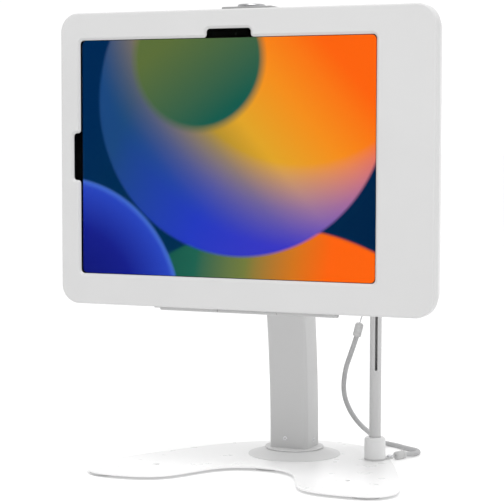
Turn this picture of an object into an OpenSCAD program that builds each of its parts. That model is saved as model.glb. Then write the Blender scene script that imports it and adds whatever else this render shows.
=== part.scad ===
// Locking tablet stand: a two-lobed base plate, a curved column, a tilting and
// turning head, and a hinged front frame that locks a tablet into a rear shell.
// Millimetres. X to the right, Y to the back, Z up. The origin is the underside
// of the base plate's middle foot, at table level.

/* [Enclosure] */
// Width of the enclosure
case_w = 332; // [326:1:340]
// Height of the enclosure
case_h = 247; // [242:1:256]
// Height of the enclosure's centre above the table, which is also the tilt axis
case_z = 267; // [262:1:290]
// Place of the front face, in front of the origin
face_y = -66; // [-70:1:-64]
// Corner radius of the enclosure
case_r = 16; // [12:1:22]
// Depth of the front frame's side walls
frame_depth = 12; // [11:0.5:14]
// Depth of the tapered rear shell
shell_depth = 21.6; // [20:0.2:26]
// Sheet thickness of frame and shell
wall = 2.4; // [2:0.2:3]

/* [Window] */
// Width of the tablet area that shows
window_w = 265; // [255:1:267]
// Height of the tablet area that shows
window_h = 198; // [190:1:200]
// Sideways place of the window's centre
window_x = -15.5; // [-18:0.5:-10]
// Height of the window's centre above the table
window_z = 268.5; // [267:0.5:270]
// Width of the bevel around the window
bevel = 2; // [1:0.5:3]

/* [Tablet] */
// Width of the tablet
tablet_w = 280.6; // [278:0.2:282]
// Height of the tablet
tablet_h = 214.9; // [212:0.1:216]
// Thickness of the tablet
tablet_t = 6.4; // [5:0.2:6.4]

/* [Base] */
// Thickness of the base plate
plate_t = 2; // [2:0.5:4]
// Height of the rubber feet
foot_h = 2.5; // [2:0.5:4]
// Diameter of the rubber feet
foot_d = 25; // [18:1:28]
// Distance between the two bolt-down holes
bolt_span = 174; // [160:1:180]
// Diameter of the bolt-down holes
bolt_hole_d = 4.5; // [4:0.5:6]

/* [Column] */
// Width of the column tube
column_w = 36; // [32:1:38]
// Depth of the column tube
column_d = 30; // [26:1:32]
// Wall of the column tube
column_wall = 2; // [1.5:0.5:3]
// Sideways place of the column and its head
column_x = 3.5; // [0:0.5:6]
// Place of the column's foot behind the origin
column_y = 52; // [50:1:56]
// Radius of the column's forward curve
column_bend = 750; // [720:1:780]

/* [Anchor post] */
// Diameter of the slotted post
post_d = 10.3; // [9.5:0.1:12]
// Height of the post's top above the table
post_top = 168; // [150:1:172]
// Diameter of the post's collar
collar_d = 18.5; // [17:0.5:20]
// Height of the collar's top above the table
collar_top = 24.5; // [18:0.5:30]

/* [Hidden] */

$fn = 48;
fit = 0.06;          // radial clearance of a turning pin
gap = 0.05;          // flat clearance between neighbours on different bodies
play = 0.4;          // clearance between shells that part

plate_top = foot_h + plate_t;
bolt_y = -42;

// enclosure
seam_y = face_y + frame_depth;
shell_y = seam_y + play;
back_y = seam_y + shell_depth + play;
taper = 12;
taper_in = (back_y - shell_y) * tan(taper);
glass_y = face_y + 3;
tablet_back = glass_y + tablet_t;
inner_w = case_w - 2 * wall;
inner_h = case_h - 2 * wall;
lip_w = inner_w - 1.2;
lip_h = inner_h - 1.2;
case_bottom = case_z - case_h / 2;
case_top = case_z + case_h / 2;
front_edge = 1.5;

// front-frame hinge
hinge_y = seam_y + 6;
hinge_z = case_bottom - 2;
hinge_r = 2.5;
hinge_w = 160;
knuckle_w = hinge_w / 3;
pin_r = 1.2;
leaf_t = 1.2;

// tablet support behind the glass
pad_t = 2;
tray_y = tablet_back + pad_t;
tray_t = 1.5;
tray_w = 286;
tray_h = 220;
standoffs = [for (x = [-110, 80], z = [-80, 80]) [window_x + x, window_z + z]];

// tilt and turn mechanism
tilt_y = 6;
axle_r = 4;
rotor_t = 3;
washer_t = 1;
bracket_t = 4;
rotor_back = back_y + rotor_t;
bracket_y = rotor_back + washer_t;
bracket_back = bracket_y + bracket_t;
ear_in = 17;
ear_t = 4;
head_half = 15;
spindle_r = 8;
stud_r = 6;

// column: vertical to bend_z, then an arc that leans forward
bend_z = 12;
bend_angle = 17.5;
column_r = 3;
screw_x = -3;
arc_centre_y = column_y - column_bend;
tube_top_y = arc_centre_y + column_bend * cos(bend_angle);
tube_top_z = bend_z + column_bend * sin(bend_angle);

// post and tether
post_x = 78.9;
post_y = 52.6;
post_wall = 1.4;
slot_w = 2.8;
slot_foot = 83;
slot_turn = 30;
tab_t = 1.5;
tab_end = [89.5, 61.5];
wire_r = 0.6;
ferrule_r = 3.7;
sheath_r = 2.2;
wire_hole_z = 150;
ferrule_top = [64.2, 52.6, 124];
ferrule_foot = [61.3, 52.6, 112.4];
lower_ferrule_start = [94.2, 89.5, 3.7];
lower_ferrule_end = [89, 79, 3.7];
sheath_route = [
    [61.3, 52.6, 112.4], [58.5, 52.8, 104], [54.5, 54.4, 94], [50.5, 57, 84.5],
    [47.6, 60, 74.5], [45.6, 64, 64.5], [45, 69.5, 54.5], [46.4, 77.5, 43],
    [49.2, 87, 32.5], [52, 98, 24], [54.2, 109, 17.5], [55.8, 121, 10.5],
    [58.8, 132, 4.8], [65, 137.8, 2.4], [73, 134.5, 2.2], [81.5, 128, 2.2],
    [90, 122.6, 2.2], [97, 117.6, 2.2], [100.6, 111, 2.2], [100.4, 103, 2.4],
    [97.8, 96, 3], [94.2, 89.5, 3.7],
];
rings_per_point = 2;
sheath_sides = 10;

// key lock
lock_y = -41;
lock_half_w = 22.4;
housing_front = seam_y + 1.2;
housing_back = back_y + 2.8;
housing_top = case_top + 2.7;
lock_face_z = housing_top + 2.2;
slab_bottom = case_top - 2;
housing_foot = case_top - 18.5;
barrel_r = 8;
barrel_foot = 382;
cam_z = 379;
cam_t = 2.5;

// The base plate's outline, clockwise from the back
outline_points = [
    [14, 119.5], [30, 117], [44, 112], [58, 103.5], [71, 91.5], [82, 76], [90.5, 60],
    [99, 42], [107, 24], [114.5, 6], [121, -10], [128, -29], [133, -44], [136.5, -57],
    [137.5, -68], [135, -77.5], [128.5, -85.5], [118, -90.3], [104, -92], [88, -91.7],
    [75, -90], [65, -85.5], [57.5, -79], [52, -70], [46.5, -57], [41, -45],
    [34.5, -33], [26, -24.3], [16, -19], [5, -17], [-6, -17.3], [-17, -20.3],
    [-27, -25.8], [-35.5, -34], [-42, -45], [-48, -56.5], [-53.5, -67.5], [-60, -77],
    [-68.5, -84.5], [-79, -89.5], [-92, -92], [-106, -93], [-119, -91.5],
    [-130, -85.5], [-137, -76], [-138.5, -65], [-137, -48], [-131.5, -32],
    [-125.5, -17], [-119, -4], [-112, 8.5], [-104.5, 20.5], [-97, 33.5],
    [-89, 47.5], [-80.5, 60], [-70, 73.5], [-57.5, 86], [-45, 96], [-31, 105.5],
    [-16, 113.5], [-1, 118.5],
];
outline_steps = 3;

feet = [[-120, -76], [114, -74], [-57, 62], [57, 62], [8, 98], [0, 0]];

// ---- shared shapes ----

function catmull(a, b, c, d, t) =
    0.5 * ((2 * b) + (c - a) * t + (2 * a - 5 * b + 4 * c - d) * t * t
           + (3 * b - a - 3 * c + d) * t * t * t);

// A closed smooth curve through points
function closed_curve(p, steps) = let (n = len(p)) [
    for (i = [0:n - 1], s = [0:steps - 1])
        catmull(p[(i + n - 1) % n], p[i], p[(i + 1) % n], p[(i + 2) % n], s / steps)
];

// An open smooth curve through points
function open_curve(p, steps) = let (n = len(p)) concat([
    for (i = [0:n - 2], s = [0:steps - 1])
        catmull(p[max(i - 1, 0)], p[i], p[i + 1], p[min(i + 2, n - 1)], s / steps)
], [p[n - 1]]);

function unit(a) = a / norm(a);

// Rectangle with true round corners
module round_rect(w, h, r) {
    square([w - 2 * r, h], center = true);
    square([w, h - 2 * r], center = true);
    for (x = [-1, 1], y = [-1, 1])
        translate([x * (w / 2 - r), y * (h / 2 - r)]) circle(r);
}

// A slab between two Y values, of a shape drawn as seen from the front
module slab(y0, y1) {
    translate([0, y1, 0]) rotate([90, 0, 0]) linear_extrude(y1 - y0) children();
}

// A case-sized rounded slab
module case_slab(y0, y1, w, h, r) {
    slab(y0, y1) translate([0, case_z]) round_rect(w, h, r);
}

// A cylinder along Y from y0 to y1
module rod_y(x, z, y0, y1, r, sides = 48) {
    translate([x, y1, z]) rotate([90, 0, 0]) cylinder(h = y1 - y0, r = r, $fn = sides);
}

// A cylinder along X from x0 to x1
module rod_x(y, z, x0, x1, r, sides = 48) {
    translate([x0, y, z]) rotate([0, 90, 0]) cylinder(h = x1 - x0, r = r, $fn = sides);
}

// A cylinder between two points
module rod(p, q, r) {
    d = q - p;
    translate(p) rotate([0, acos(d[2] / norm(d)), atan2(d[1], d[0])])
        cylinder(h = norm(d), r = r, $fn = 32);
}

// A round tube swept along a line of points
module sweep(line, r, sides) {
    n = len(line);
    function along(i) = unit(line[min(i + 1, n - 1)] - line[max(i - 1, 0)]);
    function side(i) = unit(cross(along(i), [0.35, -0.9, 0.25]));
    points = [
        for (i = [0:n - 1], k = [0:sides - 1]) let (u = side(i), w = cross(along(i), u))
            line[i] + r * (u * cos(360 * k / sides) + w * sin(360 * k / sides))
    ];
    walls = [
        for (i = [0:n - 2], k = [0:sides - 1]) let (m = (k + 1) % sides)
            [i * sides + k, i * sides + m, (i + 1) * sides + m, (i + 1) * sides + k]
    ];
    polyhedron(points, concat([[for (k = [sides - 1:-1:0]) k]], walls,
                              [[for (k = [0:sides - 1]) (n - 1) * sides + k]]));
}

// Moves what stands on the column's axis into place
module on_axis() {
    translate([column_x, 0, 0]) children();
}

// ---- base ----

module base_outline() {
    polygon(closed_curve(outline_points, outline_steps));
}

module base_plate() {
    color("white") difference() {
        translate([0, 0, foot_h]) linear_extrude(plate_t) base_outline();
        for (x = [-1, 1]) translate([x * bolt_span / 2, bolt_y, foot_h - 1])
            cylinder(h = plate_t + 2, d = bolt_hole_d);
        for (x = [-8, 8]) translate([column_x + x, column_y, foot_h - 1])
            cylinder(h = plate_t + 2, r = 3.3);
        translate([post_x, post_y, foot_h - 1]) cylinder(h = plate_t + 2, r = 2.6);
    }
}

module base_feet() {
    color("gainsboro") for (p = feet) translate([p[0], p[1], 0]) {
        cylinder(h = 0.6, r1 = foot_d / 2 - 0.6, r2 = foot_d / 2);
        translate([0, 0, 0.6]) cylinder(h = foot_h - 0.6, d = foot_d);
    }
}

// Flared ring around the column's foot: a hollowed flank, a groove and a flat rim
module column_boss() {
    foot_r = 41;
    rim_r = 26;
    rise = 7;
    edge = 0.3;
    lip = 1.1;
    groove = [0.8, 0.4];
    flank_h = rise - lip - groove[1] - edge;
    flank = [for (t = [0:0.125:1]) [foot_r - (foot_r - rim_r) * t, edge + flank_h * pow(t, 1.4)]];
    color("white") translate([0, column_y, plate_top]) difference() {
        rotate_extrude($fn = 96) polygon(concat(
            [[0, 0], [foot_r, 0]], flank,
            [[rim_r - groove[0], rise - lip - groove[1]], [rim_r - groove[0], rise - lip],
             [rim_r, rise - lip], [rim_r, rise], [0, rise]]));
        translate([0, 0, -1]) linear_extrude(rise + 2)
            round_rect(column_w + 0.1, column_d + 0.1, column_r);
    }
}

module column_spigot() {
    color("silver") translate([0, column_y, plate_top]) difference() {
        linear_extrude(22) round_rect(column_w - 2 * column_wall - 0.2,
                                      column_d - 2 * column_wall - 0.6, column_r - column_wall);
        for (x = [-8, 8]) translate([x, 0, -1]) cylinder(h = 24, r = 3.02);
    }
}

module column_bolts() {
    color("dimgray") for (x = [-8, 8]) translate([x, column_y, 0]) {
        translate([0, 0, 0.5]) difference() {
            cylinder(h = foot_h - 0.5, r = 5.5);
            translate([0, 0, -0.5]) cylinder(h = 1.7, r = 2, $fn = 6);
        }
        translate([0, 0, foot_h]) cylinder(h = 20, r = 3);
    }
}

// The column's section swept along its line, grown or shrunk by inset, and
// running past both ends by over
module column_sweep(inset, over) {
    translate([0, column_y, plate_top - over]) linear_extrude(bend_z - plate_top + over)
        round_rect(column_w - 2 * inset, column_d - 2 * inset, column_r - inset);
    translate([0, arc_centre_y, bend_z]) rotate(120, [1, 1, 1])
        rotate_extrude(angle = bend_angle + over / 10, $fn = 360)
            translate([column_bend, 0])
                round_rect(column_d - 2 * inset, column_w - 2 * inset, column_r - inset);
}

module column_tube() {
    color("gainsboro") difference() {
        column_sweep(0, 0);
        column_sweep(column_wall, 1);
        rod_y(screw_x, 20, column_y - column_d, column_y, 2.05);
        rod_x(column_y, 18, 0, column_w, 2.05);
    }
}

module column_set_screws() {
    color("silver") {
        rod_y(screw_x, 20, column_y - column_d / 2 - 0.3, column_y - column_d / 2 + column_wall + 0.25, 2);
        rod_x(column_y, 18, column_w / 2 - column_wall - 0.05, column_w / 2 + 0.3, 2);
    }
}

module at_column_top() {
    translate([0, tube_top_y, tube_top_z]) rotate([bend_angle, 0, 0]) children();
}

// Solid head: a stem pressed into the tube, a collar on its rim, and a
// cross knuckle for the tilt axle
module column_head() {
    color("gainsboro") difference() {
        union() {
            at_column_top() {
                translate([0, 0, -20]) linear_extrude(20.5)
                    round_rect(column_w - 2 * column_wall - 0.2,
                               column_d - 2 * column_wall - 1, column_r - column_wall);
                translate([0, 0, 0.02]) linear_extrude(3)
                    round_rect(column_w, column_d, column_r);
                translate([1 - head_half, -9.5, 2]) cube([2 * head_half - 2, 19, 24]);
            }
            rod_x(tilt_y, case_z, -head_half, head_half, 13);
        }
        rod_x(tilt_y, case_z, -head_half - 1, head_half + 1, axle_r + fit);
    }
}

module tilt_washers() {
    color("black") for (s = [-1, 1]) difference() {
        rod_x(tilt_y, case_z, s > 0 ? head_half : gap - ear_in,
              s > 0 ? ear_in - gap : -head_half, 12);
        rod_x(tilt_y, case_z, -ear_in - 1, ear_in + 1, axle_r + fit);
    }
}

// ---- anchor post and tether ----

module at_post(z) {
    translate([post_x, post_y, z]) children();
}

module post_tube() {
    color("silver") difference() {
        at_post(plate_top) cylinder(h = post_top - plate_top, d = post_d);
        at_post(plate_top + 12) cylinder(h = post_top, r = post_d / 2 - post_wall);
        at_post(0) cylinder(h = 14, r = 2.02);
        at_post(slot_foot) rotate(slot_turn) translate([-slot_w / 2, -post_d, slot_w / 2])
            cube([slot_w, post_d, post_top]);
        at_post(slot_foot + slot_w / 2) rotate(slot_turn) rotate([90, 0, 0])
            cylinder(h = post_d, d = slot_w);
        at_post(wire_hole_z) rotate([0, -90, 0]) cylinder(h = post_d, r = 0.9);
    }
}

module post_cap() {
    color("silver") {
        at_post(post_top) cylinder(h = 2, d1 = post_d, d2 = post_d - 1);
        at_post(post_top - 6) cylinder(h = 6, r = post_d / 2 - post_wall - 0.05);
    }
}

module post_bolt() {
    color("dimgray") at_post(0) {
        translate([0, 0, 0.6]) cylinder(h = foot_h - 0.6, r = 4.2);
        translate([0, 0, foot_h]) cylinder(h = 11, r = 2);
    }
}

module post_collar() {
    chamfer = 1.4;
    foot = plate_top + tab_t;
    color("gainsboro") difference() {
        at_post(foot) {
            cylinder(h = collar_top - foot - chamfer, d = collar_d);
            translate([0, 0, collar_top - foot - chamfer])
                cylinder(h = chamfer, d1 = collar_d, d2 = collar_d - 2 * chamfer, $fn = 64);
        }
        at_post(foot - 1) cylinder(h = collar_top, r = post_d / 2 + 0.05);
        at_post(14) rotate([-90, 0, 0]) cylinder(h = collar_d, r = 1.55);
    }
}

module collar_set_screw() {
    color("dimgray") at_post(14) rotate([-90, 0, 0]) translate([0, 0, post_d / 2 + 0.02])
        difference() {
            cylinder(h = 3.4, r = 1.5);
            translate([0, 0, 2.2]) cylinder(h = 2, r = 0.8, $fn = 6);
        }
}

// Washer under the collar with a tongue that carries the tether's rivet
module anchor_tab() {
    reach = tab_end - [post_x, post_y];
    color("gainsboro") translate([post_x, post_y, plate_top]) difference() {
        union() {
            cylinder(h = tab_t, d = collar_d);
            rotate(atan2(reach[1], reach[0])) translate([0, -3.4, 0])
                cube([norm(reach), 6.8, tab_t]);
            translate(reach) cylinder(h = tab_t, r = 3.6);
        }
        translate([0, 0, -1]) cylinder(h = 4, r = post_d / 2 + 0.05);
        translate([reach[0], reach[1], -1]) cylinder(h = 4, r = 1.5);
    }
}

module anchor_rivet() {
    color("silver") translate([tab_end[0], tab_end[1], plate_top]) {
        translate([0, 0, 0.05]) cylinder(h = tab_t, r = 1.45);
        translate([0, 0, tab_t + 0.05]) cylinder(h = 1.8, r = 2.6);
    }
}

module tether_stop() {
    color("silver") at_post(wire_hole_z) sphere(r = 2.6);
}

module tether_wire_upper() {
    color("gray") sweep([
        [post_x - 2.7, post_y, wire_hole_z], [post_x - 5.5, post_y, wire_hole_z],
        [post_x - 7.4, post_y, wire_hole_z - 1.6], ferrule_top,
    ], wire_r, 8);
}

module tether_ferrule_upper() {
    color("gainsboro") rod(ferrule_foot, ferrule_top, ferrule_r);
}

module tether_sheath() {
    color("darkgray") sweep(open_curve(sheath_route, rings_per_point), sheath_r, sheath_sides);
}

module tether_ferrule_lower() {
    color("gainsboro") rod(lower_ferrule_start, lower_ferrule_end, ferrule_r);
}

module tether_wire_lower() {
    color("gray") rod(lower_ferrule_end,
                      [tab_end[0] + 0.6, tab_end[1] + 2.6, plate_top + tab_t + 0.9], wire_r);
}

// ---- tilt bracket ----

module tilt_bracket() {
    color("gainsboro") difference() {
        union() {
            rod_y(0, case_z, bracket_y, bracket_back, 28, 96);
            for (s = [-1, 1]) {
                translate([s > 0 ? ear_in : -ear_in - ear_t, bracket_back - 1, case_z - 14])
                    cube([ear_t, tilt_y - bracket_back + 1, 28]);
                rod_x(tilt_y, case_z, s > 0 ? ear_in : -ear_in - ear_t,
                      s > 0 ? ear_in + ear_t : -ear_in, 14);
            }
        }
        rod_y(0, case_z, bracket_y - 1, bracket_back + 1, spindle_r + fit);
        rod_x(tilt_y, case_z, -ear_in - ear_t - 1, ear_in + ear_t + 1, axle_r + 0.02);
    }
}

module tilt_axle() {
    color("silver") {
        rod_x(tilt_y, case_z, -ear_in - ear_t - 3.5, -ear_in - ear_t, 7);
        rod_x(tilt_y, case_z, -ear_in - ear_t, ear_in + ear_t + 7, axle_r);
    }
}

module axle_nut() {
    color("silver") difference() {
        rod_x(tilt_y, case_z, ear_in + ear_t, ear_in + ear_t + 6, 7.5, 6);
        rod_x(tilt_y, case_z, ear_in, ear_in + ear_t + 9, axle_r + 0.02);
    }
}

module thrust_washer() {
    color("black") difference() {
        rod_y(0, case_z, rotor_back + gap, bracket_y, 26, 96);
        rod_y(0, case_z, rotor_back - 1, bracket_y + 1, spindle_r + fit);
    }
}

// ---- rotor on the back of the rear shell ----

module rotor_holes(r) {
    for (x = [-37.5, 37.5], z = [-37.5, 37.5])
        rod_y(x, case_z + z, back_y - 10, back_y + 10, r);
}

module rotor_plate() {
    color("silver") {
        difference() {
            slab(back_y, rotor_back) translate([0, case_z]) round_rect(95, 95, 8);
            rotor_holes(2.1);
        }
        rod_y(0, case_z, rotor_back, bracket_back + gap, spindle_r);
        rod_y(0, case_z, bracket_back + gap, bracket_back + 7.5, stud_r);
    }
}

module rotor_screws() {
    color("dimgray") for (x = [-37.5, 37.5], z = [-37.5, 37.5]) {
        rod_y(x, case_z + z, rotor_back, rotor_back + 2.2, 3.6);
        rod_y(x, case_z + z, back_y - wall - 3, rotor_back, 2);
    }
}

module backing_plate() {
    color("silver") difference() {
        slab(back_y - wall - 3, back_y - wall) translate([0, case_z]) round_rect(95, 95, 8);
        rotor_holes(2.02);
    }
}

module spring_washer() {
    color("silver") difference() {
        rod_y(0, case_z, bracket_back + gap, bracket_back + 1.5, 13);
        rod_y(0, case_z, bracket_back - 1, bracket_back + 3, stud_r + 0.02);
    }
}

module rotor_nut() {
    color("silver") difference() {
        rod_y(0, case_z, bracket_back + 1.5, bracket_back + 6.5, 10, 6);
        rod_y(0, case_z, bracket_back, bracket_back + 9, stud_r + 0.02);
    }
}

// ---- rear shell and what it carries ----

// Tapered body between the shell's rim and back, inset by t
module shell_form(t, y0, y1) {
    function in(y) = (y - shell_y) * tan(taper) + t;
    hull() for (y = [y0, y1])
        case_slab(y, y + 0.01, case_w - 1 - 2 * in(y), case_h - 1 - 2 * in(y),
                  max(case_r - 0.5 - in(y) / 2, 4));
}

module rear_shell() {
    side_in = wall / cos(taper);
    color("white") difference() {
        union() {
            difference() {
                shell_form(0, shell_y, back_y - 0.01);
                shell_form(side_in, shell_y - 0.5, back_y - wall);
            }
            difference() {
                case_slab(seam_y - 4, shell_y + 3.4, lip_w, lip_h, case_r - wall - 0.6);
                case_slab(seam_y - 5, shell_y + 5, lip_w - 2.8, lip_h - 2.8, case_r - wall - 2);
            }
        }
        translate([column_x, 0, 0]) rotor_holes(2.1);
        rod_y(104, case_z - 70, back_y - 10, back_y + 10, 9);
        translate([-lock_half_w - 0.1, seam_y - 6, housing_foot])
            cube([2 * lock_half_w + 0.2, 40, 40]);
        for (p = standoffs) rod_y(p[0], p[1], back_y - 10, back_y + 1, 1.6);
    }
}

module tray_standoffs() {
    color("silver") for (p = standoffs) difference() {
        rod_y(p[0], p[1], tray_y + tray_t, back_y - wall, 4);
        rod_y(p[0], p[1], tray_y, back_y, 1.52);
    }
}

module tablet_tray() {
    color("silver") difference() {
        slab(tray_y, tray_y + tray_t) translate([window_x, window_z])
            round_rect(tray_w, tray_h, 12);
        for (p = standoffs) rod_y(p[0], p[1], tray_y - 1, tray_y + tray_t + 1, 1.6);
    }
}

module tray_screws() {
    color("dimgray") for (p = standoffs) {
        rod_y(p[0], p[1], tray_y - 1.6, tray_y, 3);
        rod_y(p[0], p[1], tray_y, tray_y + tray_t + 6, 1.5);
    }
}

module foam_pads() {
    color("dimgray") for (x = [-1, 1], z = [-1, 1])
        slab(tablet_back, tray_y) translate([window_x + x * 126, window_z + z * 96])
            round_rect(22, 18, 3);
}

// L-shaped bumpers that hold the tablet's corners
module corner_blocks() {
    color("dimgray") difference() {
        slab(glass_y + 1, tray_y) translate([window_x, window_z]) difference() {
            round_rect(tray_w, tray_h, 12);
            square([tray_w - 60, tray_h + 2], center = true);
            square([tray_w + 2, tray_h - 60], center = true);
        }
        slab(glass_y, tray_y + 1) translate([window_x, window_z])
            round_rect(tablet_w + 0.1, tablet_h + 0.1, 10);
    }
}

module tablet_body() {
    rim = 0.9;
    color("silver") slab(glass_y + 1.4, tablet_back)
        translate([window_x, window_z]) round_rect(tablet_w, tablet_h, 10);
    color("silver") slab(glass_y, glass_y + 1.4)
        translate([window_x, window_z]) difference() {
            round_rect(tablet_w, tablet_h, 10);
            round_rect(tablet_w - 2 * rim, tablet_h - 2 * rim, 10 - rim);
        }
}

module tablet_bezel() {
    color("black") slab(glass_y + 0.8, glass_y + 1.4) translate([window_x, window_z])
        difference() {
            round_rect(tablet_w - 2, tablet_h - 2, 9);
            round_rect(262.9, 197.2, 4);
        }
}

module tablet_display() {
    color("navy") slab(glass_y + 0.8, glass_y + 1.4) translate([window_x, window_z])
        round_rect(262.8, 197.1, 4);
}

module tablet_glass() {
    color("skyblue", 0.35) slab(glass_y, glass_y + 0.8) translate([window_x, window_z])
        round_rect(tablet_w - 2, tablet_h - 2, 9);
}

module cable_grommet() {
    color("black") difference() {
        union() {
            rod_y(104, case_z - 70, back_y - wall, back_y, 8.9);
            rod_y(104, case_z - 70, back_y, back_y + 1.6, 11);
        }
        rod_y(104, case_z - 70, back_y - 10, back_y + 3, 6);
    }
}

// Piano-hinge leaf on the shell's sloping underside
module case_hinge_leaf() {
    half = knuckle_w / 2 - 0.2;
    slope_len = 12;
    strap_top = case_bottom + 0.5 + (hinge_y - shell_y) * tan(taper) - 0.8;
    color("darkgray") difference() {
        union() {
            rod_x(hinge_y, hinge_z, -half, half, hinge_r);
            translate([-half, hinge_y - leaf_t / 2, hinge_z])
                cube([2 * half, leaf_t, strap_top - hinge_z]);
            on_slope() translate([-half, 5, -leaf_t - 0.02])
                cube([2 * half, slope_len, leaf_t]);
        }
        rod_x(hinge_y, hinge_z, -knuckle_w, knuckle_w, pin_r + 0.02);
        rivet_rods(-5, 2, 1.52);
    }
}

// Local frame on the shell's underside: Y runs up the slope, Z into the shell
module on_slope() {
    translate([0, shell_y, case_bottom + 0.5]) rotate([taper, 0, 0]) children();
}

module rivet_rods(z0, z1, r) {
    on_slope() for (x = [-18, 0, 18]) translate([x, 13.5, z0]) cylinder(h = z1 - z0, r = r);
}

module case_leaf_rivets() {
    color("silver") {
        rivet_rods(-leaf_t - 0.9, -leaf_t - 0.02, 2.6);
        rivet_rods(-leaf_t - 0.02, -0.05, 1.5);
    }
}

module hinge_pin() {
    color("silver") rod_x(hinge_y, hinge_z, -hinge_w / 2 + 0.5, hinge_w / 2 - 0.5, pin_r);
}

// ---- key lock ----

module lock_housing() {
    cheek = 2;
    color("gainsboro") difference() {
        union() {
            translate([-lock_half_w, housing_front, slab_bottom])
                cube([2 * lock_half_w, housing_back - housing_front, housing_top - slab_bottom]);
            translate([-lock_half_w, housing_back - 2, housing_foot])
                cube([2 * lock_half_w, 2, housing_top - housing_foot]);
            for (s = [-1, 1])
                translate([s > 0 ? lock_half_w - cheek : -lock_half_w, housing_front, housing_foot])
                    cube([cheek, housing_back - housing_front, housing_top - housing_foot]);
        }
        translate([0, lock_y, slab_bottom - 1]) cylinder(h = 20, r = barrel_r + 0.05);
    }
}

module lock_barrel() {
    color("silver") translate([0, lock_y, 0]) difference() {
        union() {
            translate([0, 0, barrel_foot]) cylinder(h = housing_top - barrel_foot, r = barrel_r);
            translate([0, 0, housing_top]) cylinder(h = 1.4, r = 11.6);
            translate([0, 0, housing_top + 1.4])
                cylinder(h = 0.8, r1 = 11.6, r2 = 10.8, $fn = 64);
        }
        translate([0, 0, barrel_foot - 1]) cylinder(h = 20, r = 5.5 + fit);
    }
}

module lock_nut() {
    color("silver") translate([0, lock_y, slab_bottom - 4]) difference() {
        cylinder(h = 4, r = 9.4, $fn = 6);
        translate([0, 0, -1]) cylinder(h = 6, r = barrel_r + 0.02);
    }
}

module lock_plug() {
    color("gray") translate([0, lock_y, 0]) difference() {
        union() {
            translate([0, 0, cam_z + cam_t + 0.4])
                cylinder(h = lock_face_z - cam_z - cam_t - 0.6, r = 5.5);
            translate([0, 0, cam_z]) cylinder(h = cam_t + 0.5, r = 2.5);
        }
        translate([-0.9, -3.4, lock_face_z - 3]) cube([1.8, 6.8, 5]);
        translate([0, 0, cam_z - 1]) cylinder(h = 3, r = 1.02);
    }
}

// Cam with a hook that swings in front of the frame's catch
module lock_cam() {
    hook_in = 14.2;
    hook_out = 17.5;
    color("silver") translate([0, lock_y, cam_z]) difference() {
        union() {
            cylinder(h = cam_t, r = 6);
            translate([0, -3.2, 0]) cube([16.6, 6.4, cam_t]);
            intersection() {
                difference() {
                    cylinder(h = cam_t, r = hook_out, $fn = 96);
                    translate([0, 0, -1]) cylinder(h = cam_t + 2, r = hook_in, $fn = 96);
                }
                rotate(-42) cube([20, 20, cam_t]);
                translate([0, -20, 0]) cube([20, 23.2, cam_t]);
            }
        }
        translate([0, 0, -1]) cylinder(h = cam_t + 2, r = 2.52);
    }
}

module cam_screw() {
    color("dimgray") translate([0, lock_y, 0]) {
        translate([0, 0, cam_z - 2]) cylinder(h = 1.95, r = 3.6);
        translate([0, 0, cam_z - 0.1]) cylinder(h = 2, r = 1);
    }
}

// ---- front frame ----

// Window with its two camera notches, grown by g on every side
module window_shape(g) {
    translate([window_x, window_z]) round_rect(window_w + 2 * g, window_h + 2 * g, 3.5 + g);
    translate([-10.7, window_z + window_h / 2]) round_rect(39.5 + 2 * g, 14.6 + 2 * g, 3 + g);
    translate([window_x - window_w / 2, 269]) round_rect(13 + 2 * g, 40 + 2 * g, 3 + g);
}

module front_frame() {
    color("gainsboro") difference() {
        union() {
            case_slab(face_y + front_edge, seam_y, case_w, case_h, case_r);
            hull() {
                case_slab(face_y, face_y + 0.01, case_w - 2 * front_edge,
                          case_h - 2 * front_edge, case_r - front_edge);
                case_slab(face_y + front_edge, face_y + front_edge + 0.01, case_w, case_h, case_r);
            }
        }
        case_slab(face_y + wall, seam_y + 1, inner_w, inner_h, case_r - wall);
        slab(face_y - 1, face_y + wall + 1) window_shape(0);
        hull() for (i = [0, 1])
            slab(face_y - 0.01 + i * (wall - 0.4), face_y + i * (wall - 0.4))
                translate([window_x, window_z])
                    round_rect(window_w + 2 * bevel * (1 - i), window_h + 2 * bevel * (1 - i),
                               3.5 + bevel * (1 - i));
    }
}

module window_gasket() {
    color("black") slab(face_y + wall, glass_y - gap) difference() {
        translate([window_x, window_z]) round_rect(window_w + 24, window_h + 24, 12);
        window_shape(1);
    }
}

module frame_hinge_leaves() {
    color("darkgray") for (s = [-1, 1]) difference() {
        union() {
            rod_x(hinge_y, hinge_z, s > 0 ? knuckle_w / 2 + 0.2 : -hinge_w / 2,
                  s > 0 ? hinge_w / 2 : -knuckle_w / 2 - 0.2, hinge_r);
            translate([s > 0 ? knuckle_w / 2 + 0.2 : -hinge_w / 2, face_y + 5,
                       case_bottom - leaf_t])
                cube([knuckle_w - 0.2, hinge_y - face_y - 5, leaf_t - 0.02]);
        }
        rod_x(hinge_y, hinge_z, -hinge_w, hinge_w, pin_r + fit);
    }
}

module lock_catch() {
    color("silver") {
        translate([-12, face_y + wall + 2, case_top - wall - 2])
            cube([10, -50 - face_y - wall - 2, 1.98]);
        translate([-9, -51.2, cam_z - 1]) cube([5, 1.2, case_top - wall - cam_z - 0.5]);
    }
}

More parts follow.
